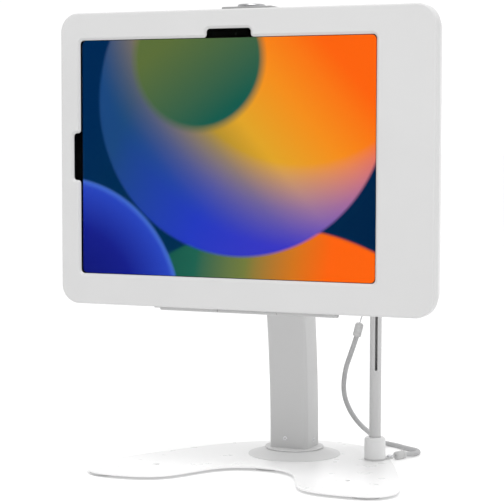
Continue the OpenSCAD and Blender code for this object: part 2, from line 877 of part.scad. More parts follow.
base_plate();
base_feet();
on_axis() column_boss();
on_axis() column_spigot();
on_axis() column_bolts();
on_axis() column_tube();
on_axis() column_set_screws();
on_axis() column_head();
on_axis() tilt_washers();
post_tube();
post_cap();
post_bolt();
post_collar();
collar_set_screw();
anchor_tab();
anchor_rivet();
tether_stop();
tether_wire_upper();
tether_ferrule_upper();
tether_sheath();
tether_ferrule_lower();
tether_wire_lower();
on_axis() tilt_bracket();
on_axis() tilt_axle();
on_axis() axle_nut();
on_axis() thrust_washer();
on_axis() rotor_plate();
on_axis() rotor_screws();
on_axis() backing_plate();
on_axis() spring_washer();
on_axis() rotor_nut();
rear_shell();
tray_standoffs();
tablet_tray();
tray_screws();
foam_pads();
corner_blocks();
tablet_body();
tablet_bezel();
tablet_display();
tablet_glass();
cable_grommet();
case_hinge_leaf();
case_leaf_rivets();
hinge_pin();
lock_housing();
lock_barrel();
lock_nut();
front_frame();
window_gasket();
frame_hinge_leaves();
lock_catch();
lock_plug();
lock_cam();
cam_screw();
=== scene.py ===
"""Locking tablet stand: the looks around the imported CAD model. Metres; X right, Y back, Z up."""
import math

import bmesh
import bpy
from mathutils import Matrix, Vector


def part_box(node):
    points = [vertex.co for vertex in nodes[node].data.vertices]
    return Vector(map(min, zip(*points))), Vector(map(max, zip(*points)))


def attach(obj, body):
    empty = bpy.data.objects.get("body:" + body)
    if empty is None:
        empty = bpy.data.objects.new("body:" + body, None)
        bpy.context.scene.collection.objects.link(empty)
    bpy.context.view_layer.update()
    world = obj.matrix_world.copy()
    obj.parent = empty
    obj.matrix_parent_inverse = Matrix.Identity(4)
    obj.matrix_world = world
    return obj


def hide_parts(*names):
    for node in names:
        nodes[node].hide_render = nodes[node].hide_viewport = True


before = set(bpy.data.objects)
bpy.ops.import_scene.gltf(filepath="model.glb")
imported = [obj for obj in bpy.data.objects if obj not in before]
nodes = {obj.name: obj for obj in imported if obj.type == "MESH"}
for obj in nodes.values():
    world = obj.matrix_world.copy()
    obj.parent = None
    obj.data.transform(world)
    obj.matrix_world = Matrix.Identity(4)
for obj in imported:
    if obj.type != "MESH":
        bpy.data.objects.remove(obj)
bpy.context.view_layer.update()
MM = 0.001
# shared places, in millimetres
COLUMN_X, COLUMN_Y = 3.5, 52.0
POST_X, POST_Y = 78.9, 52.6
FOOT_H, PLATE_TOP = 2.5, 4.5
STOP_Z = 150  # the tether's hole in the post
RIVET = (89.5, 61.5)  # the tether's rivet on the anchor tab
HEX_FLAT = 0.866  # a hexagon's width across flats over its width across corners


# ---------------------------------------------------------------- helpers

def add_object(name, mesh):
    piece = bpy.data.objects.new(name, mesh)
    bpy.context.scene.collection.objects.link(piece)
    return piece


def finish_mesh(name, bm, material, smooth_angle=32):
    """Turns a bmesh into an object with smooth faces and sharp edges where it turns past the angle."""
    bmesh.ops.remove_doubles(bm, verts=bm.verts, dist=1e-7)
    bmesh.ops.recalc_face_normals(bm, faces=bm.faces)
    mesh = bpy.data.meshes.new(name)
    bm.to_mesh(mesh)
    bm.free()
    for polygon in mesh.polygons:
        polygon.use_smooth = True
    mesh.set_sharp_from_angle(angle=math.radians(smooth_angle))
    mesh.materials.append(material)
    return add_object(name, mesh)


def loft(bm, loops, close=False):
    """Joins closed loops of equal length with quads; with close true, the first and last loops are filled."""
    rows = [[bm.verts.new(p) for p in loop] for loop in loops]
    count = len(rows[0])
    for a, b in zip(rows, rows[1:]):
        for i in range(count):
            j = (i + 1) % count
            bm.faces.new((a[i], a[j], b[j], b[i]))
    if close:
        bm.faces.new(rows[0][::-1])
        bm.faces.new(rows[-1])
    return rows


def arc(cx, cy, r, start, end, steps):
    """Points on an arc, angles in degrees."""
    return [(cx + r * math.cos(math.radians(start + (end - start) * i / steps)),
             cy + r * math.sin(math.radians(start + (end - start) * i / steps)))
            for i in range(steps + 1)]


def rounded(w, h, r, steps=12):
    """A rounded rectangle about the origin, anticlockwise."""
    x, y = w / 2 - r, h / 2 - r
    return (arc(x, y, r, 0, 90, steps) + arc(-x, y, r, 90, 180, steps)
            + arc(-x, -y, r, 180, 270, steps) + arc(x, -y, r, 270, 360, steps))


def circle(r, cx=0.0, cy=0.0, steps=48):
    return [(cx + r * math.cos(2 * math.pi * i / steps), cy + r * math.sin(2 * math.pi * i / steps))
            for i in range(steps)]


def plan_loop(points, z):
    return [(x, y, z) for x, y in points]


def turned(name, profile, material, place, axis=(0, 0, 1), steps=64, smooth_angle=32):
    """A solid of revolution in metres; profile is (radius, height) pairs from the bottom to the top."""
    bm = bmesh.new()
    loft(bm, [plan_loop(circle(r, steps=steps), height) for r, height in profile], close=True)
    turn = Vector((0, 0, 1)).rotation_difference(Vector(axis)).to_matrix().to_4x4()
    bm.transform(Matrix.Translation(Vector(place)) @ turn)
    return finish_mesh(name, bm, material, smooth_angle)


def catmull_rom(a, b, c, d, steps):
    """Points from b up to c, without c, on the Catmull-Rom curve that has a and d as its outer points."""
    return [0.5 * (2 * b + (c - a) * t + (2 * a - 5 * b + 4 * c - d) * t * t + (3 * b - a - 3 * c + d) * t ** 3)
            for t in (i / steps for i in range(steps))]


def smooth_line(points, steps):
    """An open curve through points."""
    last = len(points) - 1
    line = []
    for i in range(last):
        line += catmull_rom(points[max(i - 1, 0)], points[i], points[i + 1], points[min(i + 2, last)], steps)
    return line + [points[-1]]


def smooth_closed(points, steps):
    """A closed curve through points."""
    count = len(points)
    line = []
    for i in range(count):
        line += catmull_rom(points[i - 1], points[i], points[(i + 1) % count], points[(i + 2) % count], steps)
    return line


def tube_curve(name, line, radius, material, resolution=10):
    """A round wire along a line of points, as a bevelled poly curve."""
    data = bpy.data.curves.new(name, "CURVE")
    data.dimensions = "3D"
    spline = data.splines.new("POLY")
    spline.points.add(len(line) - 1)
    for point, place in zip(spline.points, line):
        point.co = (*place, 1)
    data.bevel_depth = radius
    data.bevel_resolution = resolution
    data.use_fill_caps = True
    spline.use_smooth = True
    data.materials.append(material)
    return add_object(name, data)


# Part planes, in millimetres: a part drawn as (u, v) with its depth along w.
FRONT = Matrix(((1, 0, 0, 0), (0, 0, 1, 0), (0, 1, 0, 0), (0, 0, 0, 1)))  # u right, v up, w back
SIDE = Matrix(((0, 0, 1, 0), (1, 0, 0, 0), (0, 1, 0, 0), (0, 0, 0, 1)))  # u back, v up, w right
FLAT = Matrix.Identity(4)  # u right, v back, w up
FLIPPED = Matrix.Scale(-1, 4, (0, 0, 1))  # turns +w into -w


def at(x, y, z):
    return Matrix.Translation(Vector((x, y, z)))


def moved_in(points, distance):
    """An anticlockwise outline moved inwards by a distance."""
    if abs(distance) < 1e-9:
        return [tuple(p) for p in points]
    moved = []
    count = len(points)
    for i, p in enumerate(points):
        a = Vector(points[i - 1])
        if (a - Vector(p)).length <= 1e-6:
            a = Vector(points[i - 2])
        b = Vector(points[(i + 1) % count])
        if (b - Vector(p)).length < 1e-6:
            b = Vector(points[(i + 2) % count])
        before = (Vector(p) - a).normalized()
        after = (b - Vector(p)).normalized()
        n1 = Vector((-before.y, before.x))
        n2 = Vector((-after.y, after.x))
        n = (n1 + n2).normalized()
        grow = 1 / max(n.dot(n1), 0.5)
        moved.append((p[0] + n.x * distance * grow, p[1] + n.y * distance * grow))
    return moved


def fill_between(bm, rows, normal=(0, 0, 1)):
    """Fills the flat region bounded by closed rows of vertices, the first row being the outer one."""
    edges = []
    for row in rows:
        for i, vert in enumerate(row):
            other = row[(i + 1) % len(row)]
            if other is not vert:
                edges.append(bm.edges.get((vert, other)) or bm.edges.new((vert, other)))
    bmesh.ops.triangle_fill(bm, edges=edges, use_beauty=True, normal=normal)


def add_shell(bm, shell, place):
    """Adds a finished shell to a part, put in place."""
    bmesh.ops.remove_doubles(shell, verts=shell.verts, dist=1e-5)
    shell.transform(place)
    mesh = bpy.data.meshes.new("shell")
    shell.to_mesh(mesh)
    shell.free()
    bm.from_mesh(mesh)
    bpy.data.meshes.remove(mesh)


def add_loft(bm, loops, place, close=True):
    shell = bmesh.new()
    loft(shell, loops, close)
    add_shell(bm, shell, place)


def side_loops(outline, low_w, high_w, edge, support, angles, inwards):
    """The side of a flat part with rounded edges, from inside its lower face to inside its upper one."""
    lower, upper = [], []
    for angle in angles:
        s, c = math.sin(math.radians(angle)), math.cos(math.radians(angle))
        lower.append(plan_loop(inwards(outline, edge * (1 - s)), low_w + edge * (1 - c)))
        upper.append(plan_loop(inwards(outline, edge * (1 - c)), high_w - edge * (1 - s)))
    flat = inwards(outline, edge + support)
    return [plan_loop(flat, low_w)] + lower + upper + [plan_loop(flat, high_w)]


def plate(bm, outline, low_w, high_w, edge=0.25, holes=(), place=FLAT, support=0.25):
    """A flat part in millimetres: an anticlockwise outline between two depths, with rounded edges and holes."""
    shell = bmesh.new()
    rows = loft(shell, side_loops(outline, low_w, high_w, edge, support, (0, 30, 60, 90), moved_in))
    chamfer = min(edge, 0.3)
    low_rows, high_rows = [], []
    for hole in holes:
        wide = moved_in(hole, -chamfer)
        hole_rows = loft(shell, [plan_loop(wide, low_w), plan_loop(hole, low_w + chamfer),
                                 plan_loop(hole, high_w - chamfer), plan_loop(wide, high_w)])
        low_rows.append(hole_rows[0])
        high_rows.append(hole_rows[-1])
    fill_between(shell, [rows[0]] + low_rows)
    fill_between(shell, [rows[-1]] + high_rows)
    add_shell(bm, shell, place)


def spun(bm, profile, place=FLAT, steps=48, close=True):
    """A solid of revolution about w, in millimetres; profile is (radius, w) pairs. With close false it joins its
    last ring back to its first, which makes a ring-shaped part."""
    loops = [plan_loop(circle(max(r, 1e-4), steps=steps), w) for r, w in profile]
    add_loft(bm, loops if close else loops + [loops[0]], place, close)


def rod(bm, r, low_w, high_w, place=FLAT, edge=0.3, steps=48):
    spun(bm, [(r - edge, low_w), (r - edge * 0.3, low_w + edge * 0.3), (r, low_w + edge), (r, high_w - edge),
              (r - edge * 0.3, high_w - edge * 0.3), (r - edge, high_w)], place, steps)


def washer(bm, inner, outer, low_w, high_w, place=FLAT, edge=0.15, steps=64):
    spun(bm, [(inner + edge, low_w), (outer - edge, low_w), (outer, low_w + edge), (outer, high_w - edge),
              (outer - edge, high_w), (inner + edge, high_w), (inner, high_w - edge), (inner, low_w + edge)],
         place, steps, close=False)


def pan_head(bm, r, high, place, recess=1.5):
    """A low domed screw head with a hexagon socket, its top towards +w."""
    steps = 48
    dome = [(r, 0), (r, high * 0.35), (r * 0.97, high * 0.6), (r * 0.86, high * 0.84), (r * 0.68, high * 0.97)]
    socket = []
    for i in range(steps):
        angle = 360 * i / steps
        reach = recess * HEX_FLAT / max(math.cos(math.radians(angle % 60 - 30)), 0.8)
        socket.append((reach * math.cos(math.radians(angle)), reach * math.sin(math.radians(angle))))
    wide = [(x * 1.12, y * 1.12) for x, y in socket]
    add_loft(bm, [plan_loop(circle(a, steps=steps), w) for a, w in dome]
             + [plan_loop(wide, high), plan_loop(socket, high - 0.15), plan_loop(socket, high * 0.35)], place)


def nut(bm, corners, bore, low_w, high_w, place=FLAT):
    """A hexagon nut with chamfered corners."""
    flat_r, chamfer, steps = corners * HEX_FLAT, corners * 0.08, 48

    def hex_ring(limit, w):
        ring = []
        for i in range(steps):
            angle = 360 * i / steps
            r = min(flat_r / math.cos(math.radians(angle % 60 - 30)), limit)
            ring.append((r * math.cos(math.radians(angle)), r * math.sin(math.radians(angle)), w))
        return ring

    def bore_ring(r, w):
        return plan_loop(circle(r, steps=steps), w)

    add_loft(bm, [bore_ring(bore, low_w), hex_ring(flat_r, low_w), hex_ring(corners, low_w + chamfer),
                  hex_ring(corners, high_w - chamfer), hex_ring(flat_r, high_w), bore_ring(bore + 0.4, high_w),
                  bore_ring(bore, high_w - 0.4), bore_ring(bore, low_w)], place, close=False)


def finish_part(node, finish, bm, material, body, smooth_angle=35):
    """Ends a part drawn in millimetres: its name is the CAD node's name and the finish."""
    bm.transform(Matrix.Scale(MM, 4))
    return dress(finish_mesh(f"{node}_{finish}", bm, material, smooth_angle), body, node)


def dress(piece, body, node):
    """Puts a piece on its body and hides the CAD node it stands for."""
    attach(piece, body)
    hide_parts(node)
    return piece


def carve(piece, *tools):
    """Cuts tools drawn in millimetres out of a piece, and keeps the result as its mesh."""
    for tool in tools:
        tool.transform(Matrix.Scale(MM, 4))
        bmesh.ops.recalc_face_normals(tool, faces=tool.faces)
        tool_mesh = bpy.data.meshes.new("cutter")
        tool.to_mesh(tool_mesh)
        tool.free()
        cutter = add_object("cutter", tool_mesh)
        modifier = piece.modifiers.new("cut", "BOOLEAN")
        modifier.operation = "DIFFERENCE"
        modifier.solver = "EXACT"
        modifier.object = cutter
        bpy.context.view_layer.update()
        evaluated = piece.evaluated_get(bpy.context.evaluated_depsgraph_get())
        mesh = bpy.data.meshes.new_from_object(evaluated)
        piece.modifiers.remove(modifier)
        old = piece.data
        piece.data = mesh
        bpy.data.meshes.remove(old)
        bpy.data.objects.remove(cutter)
        bpy.data.meshes.remove(tool_mesh)


# ---------------------------------------------------------------- materials

def new_material(name, color, roughness, metallic=0.0, specular=0.5):
    """A Principled material, with the constants set on the shader's own sockets."""
    material = bpy.data.materials.new(name)
    material.use_nodes = True
    shader = material.node_tree.nodes["Principled BSDF"]
    shader.inputs["Base Color"].default_value = (*color, 1)
    shader.inputs["Roughness"].default_value = roughness
    shader.inputs["Metallic"].default_value = metallic
    shader.inputs["Specular IOR Level"].default_value = specular
    return material, material.node_tree, shader


def texture_place(tree, scale=(1, 1, 1)):
    """Object coordinates, stretched by scale."""
    coordinates = tree.nodes.new("ShaderNodeTexCoord")
    mapping = tree.nodes.new("ShaderNodeMapping")
    mapping.inputs["Scale"].default_value = scale
    tree.links.new(coordinates.outputs["Object"], mapping.inputs["Vector"])
    return mapping.outputs["Vector"]


def noise(tree, vector, scale, detail=2.0, roughness=0.5):
    node = tree.nodes.new("ShaderNodeTexNoise")
    node.inputs["Scale"].default_value = scale
    node.inputs["Detail"].default_value = detail
    node.inputs["Roughness"].default_value = roughness
    tree.links.new(vector, node.inputs["Vector"])
    return node.outputs["Fac"]


def ramp(tree, factor, stops):
    """A colour ramp with (position, colour) stops."""
    node = tree.nodes.new("ShaderNodeValToRGB")
    while len(node.color_ramp.elements) < len(stops):
        node.color_ramp.elements.new(0.5)
    for element, (position, color) in zip(node.color_ramp.elements, stops):
        element.position = position
        element.color = (*color, 1)
    tree.links.new(factor, node.inputs["Fac"])
    return node.outputs["Color"]


def value_range(tree, value, to_low, to_high, from_low=0.3, from_high=0.7):
    node = tree.nodes.new("ShaderNodeMapRange")
    node.inputs["From Min"].default_value = from_low
    node.inputs["From Max"].default_value = from_high
    node.inputs["To Min"].default_value = to_low
    node.inputs["To Max"].default_value = to_high
    tree.links.new(value, node.inputs["Value"])
    return node.outputs["Result"]


def bump(tree, shader, height, strength, distance):
    node = tree.nodes.new("ShaderNodeBump")
    node.inputs["Strength"].default_value = strength
    node.inputs["Distance"].default_value = distance
    tree.links.new(height, node.inputs["Height"])
    tree.links.new(node.outputs["Normal"], shader.inputs["Normal"])


def powder_coat(name, color, roughness, peel=0.10, specular=0.5):
    """Powder coat: orange peel under a millimetre, and slow drifts of tone and gloss."""
    material, tree, shader = new_material(name, color, roughness, specular=specular)
    place = texture_place(tree)
    drift = noise(tree, place, 14, 3)
    tone = [c * 0.985 for c in color], [min(c * 1.012, 1) for c in color]
    tree.links.new(ramp(tree, drift, [(0.3, tone[0]), (0.7, tone[1])]), shader.inputs["Base Color"])
    tree.links.new(value_range(tree, noise(tree, place, 55, 4), roughness * 0.88, roughness * 1.12),
                   shader.inputs["Roughness"])
    if peel:
        bump(tree, shader, noise(tree, place, 1500, 2), peel, 0.00006)
    return material


def brushed_metal(name, color, roughness, stretch=(40, 1400, 1400)):
    material, tree, shader = new_material(name, color, roughness, metallic=1.0)
    place = texture_place(tree, stretch)
    grain = noise(tree, place, 1, 3)
    tree.links.new(value_range(tree, grain, roughness * 0.7, roughness * 1.35), shader.inputs["Roughness"])
    tree.links.new(ramp(tree, grain, [(0.3, [c * 0.88 for c in color]), (0.7, [min(c * 1.08, 1) for c in color])]),
                   shader.inputs["Base Color"])
    bump(tree, shader, grain, 0.08, 0.00003)
    return material


def moulded(name, color, roughness, grain_scale=2200, strength=0.25, specular=0.5):
    """Moulded rubber or plastic: fine spark grain and slight mottling."""
    material, tree, shader = new_material(name, color, roughness, specular=specular)
    place = texture_place(tree)
    tree.links.new(ramp(tree, noise(tree, place, 90, 3), [(0.3, [c * 0.9 for c in color]),
                                                          (0.7, [min(c * 1.1, 1) for c in color])]),
                   shader.inputs["Base Color"])
    tree.links.new(value_range(tree, noise(tree, place, 300, 2), roughness * 0.9, min(roughness * 1.1, 1)),
                   shader.inputs["Roughness"])
    bump(tree, shader, noise(tree, place, grain_scale, 2), strength, 0.00005)
    return material


def mixed(tree, factor, below, above):
    """A colour laid over another by a factor."""
    node = tree.nodes.new("ShaderNodeMix")
    node.data_type = "RGBA"
    for socket, source in ((node.inputs[0], factor), (node.inputs[6], below), (node.inputs[7], above)):
        tree.links.new(source, socket)
    return node.outputs[2]


def lit_screen(name):
    """A lit display that shows a plain wallpaper: soft overlapping discs of blue, green, gold and orange."""
    material, tree, shader = new_material(name, (0.004, 0.004, 0.006), 0.2)
    coordinates = tree.nodes.new("ShaderNodeTexCoord")
    place = tree.nodes.new("ShaderNodeMapping")
    half = 0.1325
    place.inputs["Scale"].default_value = (1 / half, 0, 1 / half)
    place.inputs["Location"].default_value = (0.0155 / half, 0, -0.2685 / half)
    tree.links.new(coordinates.outputs["Object"], place.inputs["Vector"])
    spot = place.outputs["Vector"]

    def away(x, z):
        node = tree.nodes.new("ShaderNodeVectorMath")
        node.operation = "DISTANCE"
        node.inputs[1].default_value = (x, 0, z)
        tree.links.new(spot, node.inputs[0])
        return node.outputs["Value"]

    def along(x, z):
        node = tree.nodes.new("ShaderNodeVectorMath")
        node.operation = "DOT_PRODUCT"
        node.inputs[1].default_value = (x, 0, z)
        tree.links.new(spot, node.inputs[0])
        return value_range(tree, node.outputs["Value"], 0, 1, -1, 1)

    def inside(x, z, r, soft=0.012):
        return value_range(tree, away(x, z), 1, 0, r - soft, r + soft)

    orange = (0.95, 0.12, 0.004)
    color = ramp(tree, along(0.9, -0.4),
                 [(0.0, (0.0, 0.02, 0.085)), (0.5, (0.0, 0.024, 0.075)), (1.0, (0.0, 0.015, 0.06))])
    # lower leaf: green at the left, orange at the right
    leaf = ramp(tree, along(1.0, -0.15), [(0.15, (0.0, 0.05, 0.045)), (0.45, (0.012, 0.115, 0.075)),
                                          (0.62, (0.16, 0.19, 0.045)), (0.78, (0.62, 0.17, 0.012)), (0.9, orange)])
    color = mixed(tree, inside(0.35, -1.95, 1.53), color, leaf)
    # lower left disc: royal blue with a lighter rim
    rim = ramp(tree, away(-1.15, -0.98), [(0.0, (0.002, 0.004, 0.10)), (0.55, (0.006, 0.012, 0.24)),
                                          (0.81, (0.02, 0.055, 0.48)), (0.85, (0.06, 0.16, 0.62))])
    color = mixed(tree, inside(-1.15, -0.98, 0.85), color, rim)
    # great disc: gold and orange towards the upper right, blue along its lower rim
    warm = ramp(tree, along(0.62, 0.55), [(0.12, (0.0, 0.055, 0.13)), (0.34, (0.022, 0.10, 0.10)),
                                          (0.5, (0.34, 0.24, 0.03)), (0.6, (0.72, 0.36, 0.022)),
                                          (0.74, (0.88, 0.26, 0.012)), (0.9, orange)])
    cool = ramp(tree, along(0.75, -0.35),
                [(0.2, (0.01, 0.06, 0.20)), (0.5, (0.016, 0.04, 0.50)), (0.85, (0.05, 0.035, 0.52))])
    reach = value_range(tree, away(0.5, 0.85), 0, 1, 0, 2)
    lower = ramp(tree, reach, [(0.44, (0, 0, 0)), (0.58, (0.6, 0.6, 0.6)), (0.70, (1, 1, 1))])
    disc = mixed(tree, lower, warm, cool)
    color = mixed(tree, inside(0.1, 0.36, 0.97), color, disc)
    # inner disc at the upper left: teal and green
    inner = ramp(tree, along(0.5, -0.7), [(0.15, (0.10, 0.15, 0.04)), (0.4, (0.008, 0.10, 0.07)),
                                          (0.6, (0.0, 0.075, 0.13)), (0.8, (0.004, 0.028, 0.17))])
    color = mixed(tree, inside(-0.18, 0.62, 0.44, 0.03), color, inner)
    tree.links.new(color, shader.inputs["Emission Color"])
    shader.inputs["Emission Strength"].default_value = 1.0
    return material


def clear_glass(name):
    material, tree, shader = new_material(name, (1, 1, 1), 0.02, specular=0.2)
    shader.inputs["Transmission Weight"].default_value = 1.0
    shader.inputs["IOR"].default_value = 1.1
    return material


white_coat = powder_coat("white_powder_coat", (0.585, 0.585, 0.585), 0.42)
boss_coat = powder_coat("boss_coat", (0.64, 0.64, 0.64), 0.42)
# painted light: the rear shell wears a lighter copy of the enclosure's white coat, standing for the light that falls
# on its right side
painted_light_shell_coat = powder_coat("shell_powder_coat_painted_light", (0.69, 0.69, 0.69), 0.42)
gloss_white = powder_coat("gloss_base_coat", (0.84, 0.84, 0.84), 0.30, peel=0, specular=0.22)
grey_coat = powder_coat("pale_grey_coat", (0.53, 0.53, 0.53), 0.40)
# painted shade: the hinge is white powder coat, made dark grey here to stand for the shade under the enclosure's lower
# edge
painted_shade_hinge_coat = powder_coat("painted_shade_hinge_coat", (0.44, 0.44, 0.44), 0.40)
lock_coat = powder_coat("lock_coat", (0.33, 0.33, 0.33), 0.40)
collar_coat = powder_coat("collar_coat", (0.72, 0.72, 0.72), 0.40)
rubber_white = moulded("white_rubber", (0.56, 0.56, 0.56), 0.75)
black_plastic = moulded("black_nylon", (0.012, 0.012, 0.013), 0.5)
black_foam = moulded("black_foam", (0.020, 0.020, 0.021), 0.9, grain_scale=900, strength=0.6)
black_gloss = moulded("black_print", (0.021, 0.019, 0.019), 0.25, grain_scale=300, strength=0.01)
vinyl = moulded("grey_vinyl", (0.42, 0.42, 0.425), 0.42, grain_scale=1400, strength=0.15)
steel = brushed_metal("brushed_steel", (0.55, 0.55, 0.56), 0.34)
zinc = brushed_metal("zinc_plate", (0.62, 0.62, 0.64), 0.26, (900, 900, 900))
blasted = brushed_metal("blasted_aluminium", (0.60, 0.60, 0.61), 0.42, (1500, 1500, 1500))
black_oxide = brushed_metal("black_oxide", (0.06, 0.06, 0.065), 0.38, (1200, 1200, 1200))
chromed = brushed_metal("satin_chrome", (0.45, 0.45, 0.46), 0.22, (700, 700, 700))
screen = lit_screen("lit_display")
cover_glass = clear_glass("cover_glass")


# ---------------------------------------------------------------- camera and light

def studio_world():
    """White surroundings, a little brighter behind, above and to the right than in front."""
    world = bpy.data.worlds.new("studio")
    world.use_nodes = True
    tree = world.node_tree
    coordinates = tree.nodes.new("ShaderNodeTexCoord")
    tilt = tree.nodes.new("ShaderNodeVectorMath")
    tilt.operation = "DOT_PRODUCT"
    tilt.inputs[1].default_value = (0.02, 0.22, 0.20)
    tree.links.new(coordinates.outputs["Generated"], tilt.inputs[0])
    level = tree.nodes.new("ShaderNodeMath")
    level.operation = "ADD"
    level.inputs[1].default_value = 0.84
    tree.links.new(tilt.outputs["Value"], level.inputs[0])
    tree.links.new(level.outputs["Value"], tree.nodes["Background"].inputs["Strength"])
    tree.nodes["Background"].inputs["Color"].default_value = (1, 1, 1, 1)
    bpy.context.scene.world = world


def camera_and_light():
    eye = Vector((532.1, -1308.65, 285.1)) * MM
    aim = Vector((11.38, -66.0, 192.2)) * MM
    roll = 0.137
    data = bpy.data.cameras.new("camera")
    data.lens = 117.86
    data.sensor_width = 36
    data.clip_start = 0.05
    camera = bpy.data.objects.new("camera", data)
    bpy.context.scene.collection.objects.link(camera)
    camera.location = eye
    camera.rotation_euler = ((aim - eye).to_track_quat("-Z", "Y").to_matrix()
                             @ Matrix.Rotation(math.radians(roll), 3, "Z")).to_euler()
    bpy.context.scene.camera = camera
    bpy.context.scene.view_settings.view_transform = "Standard"
    studio_world()
    softbox("top_softbox", (0.3, -0.8, 1.8), (0.05, 0, 0), 1.4, 17)
    bpy.ops.mesh.primitive_plane_add(size=60, location=(0, 0, 0))
    floor = bpy.context.object
    floor.name = "floor"
    material, tree, shader = new_material("floor_paper", (0.8, 0.8, 0.8), 0.9, specular=0.1)
    tree.links.new(ramp(tree, noise(tree, texture_place(tree), 3, 2), [(0.3, (0.795,) * 3), (0.7, (0.805,) * 3)]),
                   shader.inputs["Base Color"])
    shader.inputs["Emission Color"].default_value = (1, 1, 1, 1)
    shader.inputs["Emission Strength"].default_value = 0.22
    floor.data.materials.append(material)


def softbox(name, place, aim, size, power):
    data = bpy.data.lights.new(name, "AREA")
    data.shape = "DISK"
    data.size = size
    data.energy = power
    light = bpy.data.objects.new(name, data)
    bpy.context.scene.collection.objects.link(light)
    light.location = place
    light.rotation_euler = (Vector(aim) - Vector(place)).to_track_quat("-Z", "Y").to_euler()


# ---------------------------------------------------------------- tether

def tether():
    """A sheathed steel wire from the post's stop ball to the rivet on the anchor tab."""
    route = [
        (61.3, 52.6, 112.4), (58.5, 52.8, 104), (54.5, 54.4, 94), (50.5, 57, 84.5),
        (47.6, 60, 74.5), (45.6, 64, 64.5), (45, 69.5, 54.5), (46.4, 77.5, 43),
        (49.2, 87, 32.5), (52, 98, 24), (54.2, 109, 17.5), (55.8, 121, 10.5),
        (58.8, 132, 4.8), (65, 137.8, 2.4), (73, 134.5, 2.2), (81.5, 128, 2.2),
        (90, 122.6, 2.2), (97, 117.6, 2.2), (100.6, 111, 2.2), (100.4, 103, 2.4),
        (97.8, 96, 3), (94.2, 89.5, 3.7),
    ]
    sheath_r = 2.2 * MM
    line = smooth_line([Vector(p) * MM for p in route], 8)
    sheath = tube_curve("tether_sheath_skin", line, sheath_r, vinyl)
    dress(sheath, "stand", "tether_sheath")
    for end, start, stop in (("upper", Vector((61.3, 52.6, 112.4)), Vector((64.2, 52.6, 124))),
                             ("lower", Vector((94.2, 89.5, 3.7)), Vector((89, 79, 3.7)))):
        along = stop - start
        r, long = 3.7, along.length
        profile = [(r - 0.9, 0), (r - 0.35, 0.12), (r, 0.7), (r, 3.0), (r - 0.3, 3.3), (r - 0.3, 4.1), (r, 4.4),
                   (r, long - 2.1), (r - 0.25, long - 1.1), (r - 0.9, long - 0.35), (r - 1.7, long)]
        ferrule = turned(f"tether_ferrule_{end}_crimp", [(a * MM, h * MM) for a, h in profile], grey_coat,
                         start * MM, along, 48)
        dress(ferrule, "stand", f"tether_ferrule_{end}")
    hole = Vector((POST_X, POST_Y, STOP_Z))
    wires = {
        "upper": [hole - Vector((2.7, 0, 0)), hole - Vector((5.5, 0, 0)), hole - Vector((7.4, 0, 1.6)),
                  Vector((64.2, 52.6, 124))],
        "lower": [Vector((89, 79, 3.7)), Vector((89.4, 73, 5.1)), Vector((90.1, 64.1, 6.9))],
    }
    for end, points in wires.items():
        strands = twisted(f"tether_wire_{end}_rope", smooth_line([p * MM for p in points], 10), 0.6 * MM)
        dress(strands, "stand", f"tether_wire_{end}")


def twisted(name, line, radius):
    """Three strands laid round each other inside the given radius."""
    strand = radius * 0.46
    bm = bmesh.new()
    sides = 8
    turn_length = 5 * radius
    travelled = 0.0
    frames = []
    for i, p in enumerate(line):
        ahead = (line[min(i + 1, len(line) - 1)] - line[max(i - 1, 0)]).normalized()
        u = ahead.cross(Vector((0.35, -0.9, 0.25))).normalized()
        if i:
            travelled += (p - line[i - 1]).length
        frames.append((p, u, ahead.cross(u), travelled))
    for k in range(3):
        loops = []
        for p, u, w, gone in frames:
            angle = 2 * math.pi * (gone / turn_length + k / 3)
            centre = p + (u * math.cos(angle) + w * math.sin(angle)) * (radius - strand)
            loops.append([centre + strand * (u * math.cos(2 * math.pi * j / sides)
                                             + w * math.sin(2 * math.pi * j / sides)) for j in range(sides)])
        loft(bm, loops, close=True)
    return finish_mesh(name, bm, steel)


# ---------------------------------------------------------------- base

def anticlockwise(points):
    """An outline, reversed where it runs clockwise."""
    area = sum(a[0] * b[1] - b[0] * a[1] for a, b in zip(points, points[1:] + points[:1]))
    return points if area > 0 else points[::-1]


def outline_of(node, z):
    """The outer outline of a flat CAD node's face at height z, anticlockwise."""
    mesh = nodes[node].data
    spot = {}
    flat = []
    for polygon in mesh.polygons:
        if all(abs(mesh.vertices[i].co.z - z) < 1e-5 for i in polygon.vertices):
            ids = [spot.setdefault(tuple(round(c, 6) for c in mesh.vertices[i].co), i) for i in polygon.vertices]
            flat.append(ids)
    edges = {}
    for ids in flat:
        for a, b in zip(ids, ids[1:] + ids[:1]):
            edges[(a, b)] = edges.get((a, b), 0) + 1
    following = {a: b for a, b in edges if (b, a) not in edges}
    loops = []
    while following:
        first = next(iter(following))
        loop, at = [], first
        while at in following:
            loop.append(mesh.vertices[at].co.xy.copy())
            at = following.pop(at)
        loops.append(loop)
    loops.sort(key=lambda points: -max(p.length for p in points))
    return anticlockwise(loops[0])


def inset_closed(points, distance):
    """Moves every point of an anticlockwise outline inwards."""
    moved = []
    count = len(points)
    for i, p in enumerate(points):
        along = (points[(i + 1) % count] - points[i - 1]).normalized()
        moved.append(p + Vector((-along.y, along.x)) * distance)
    return moved


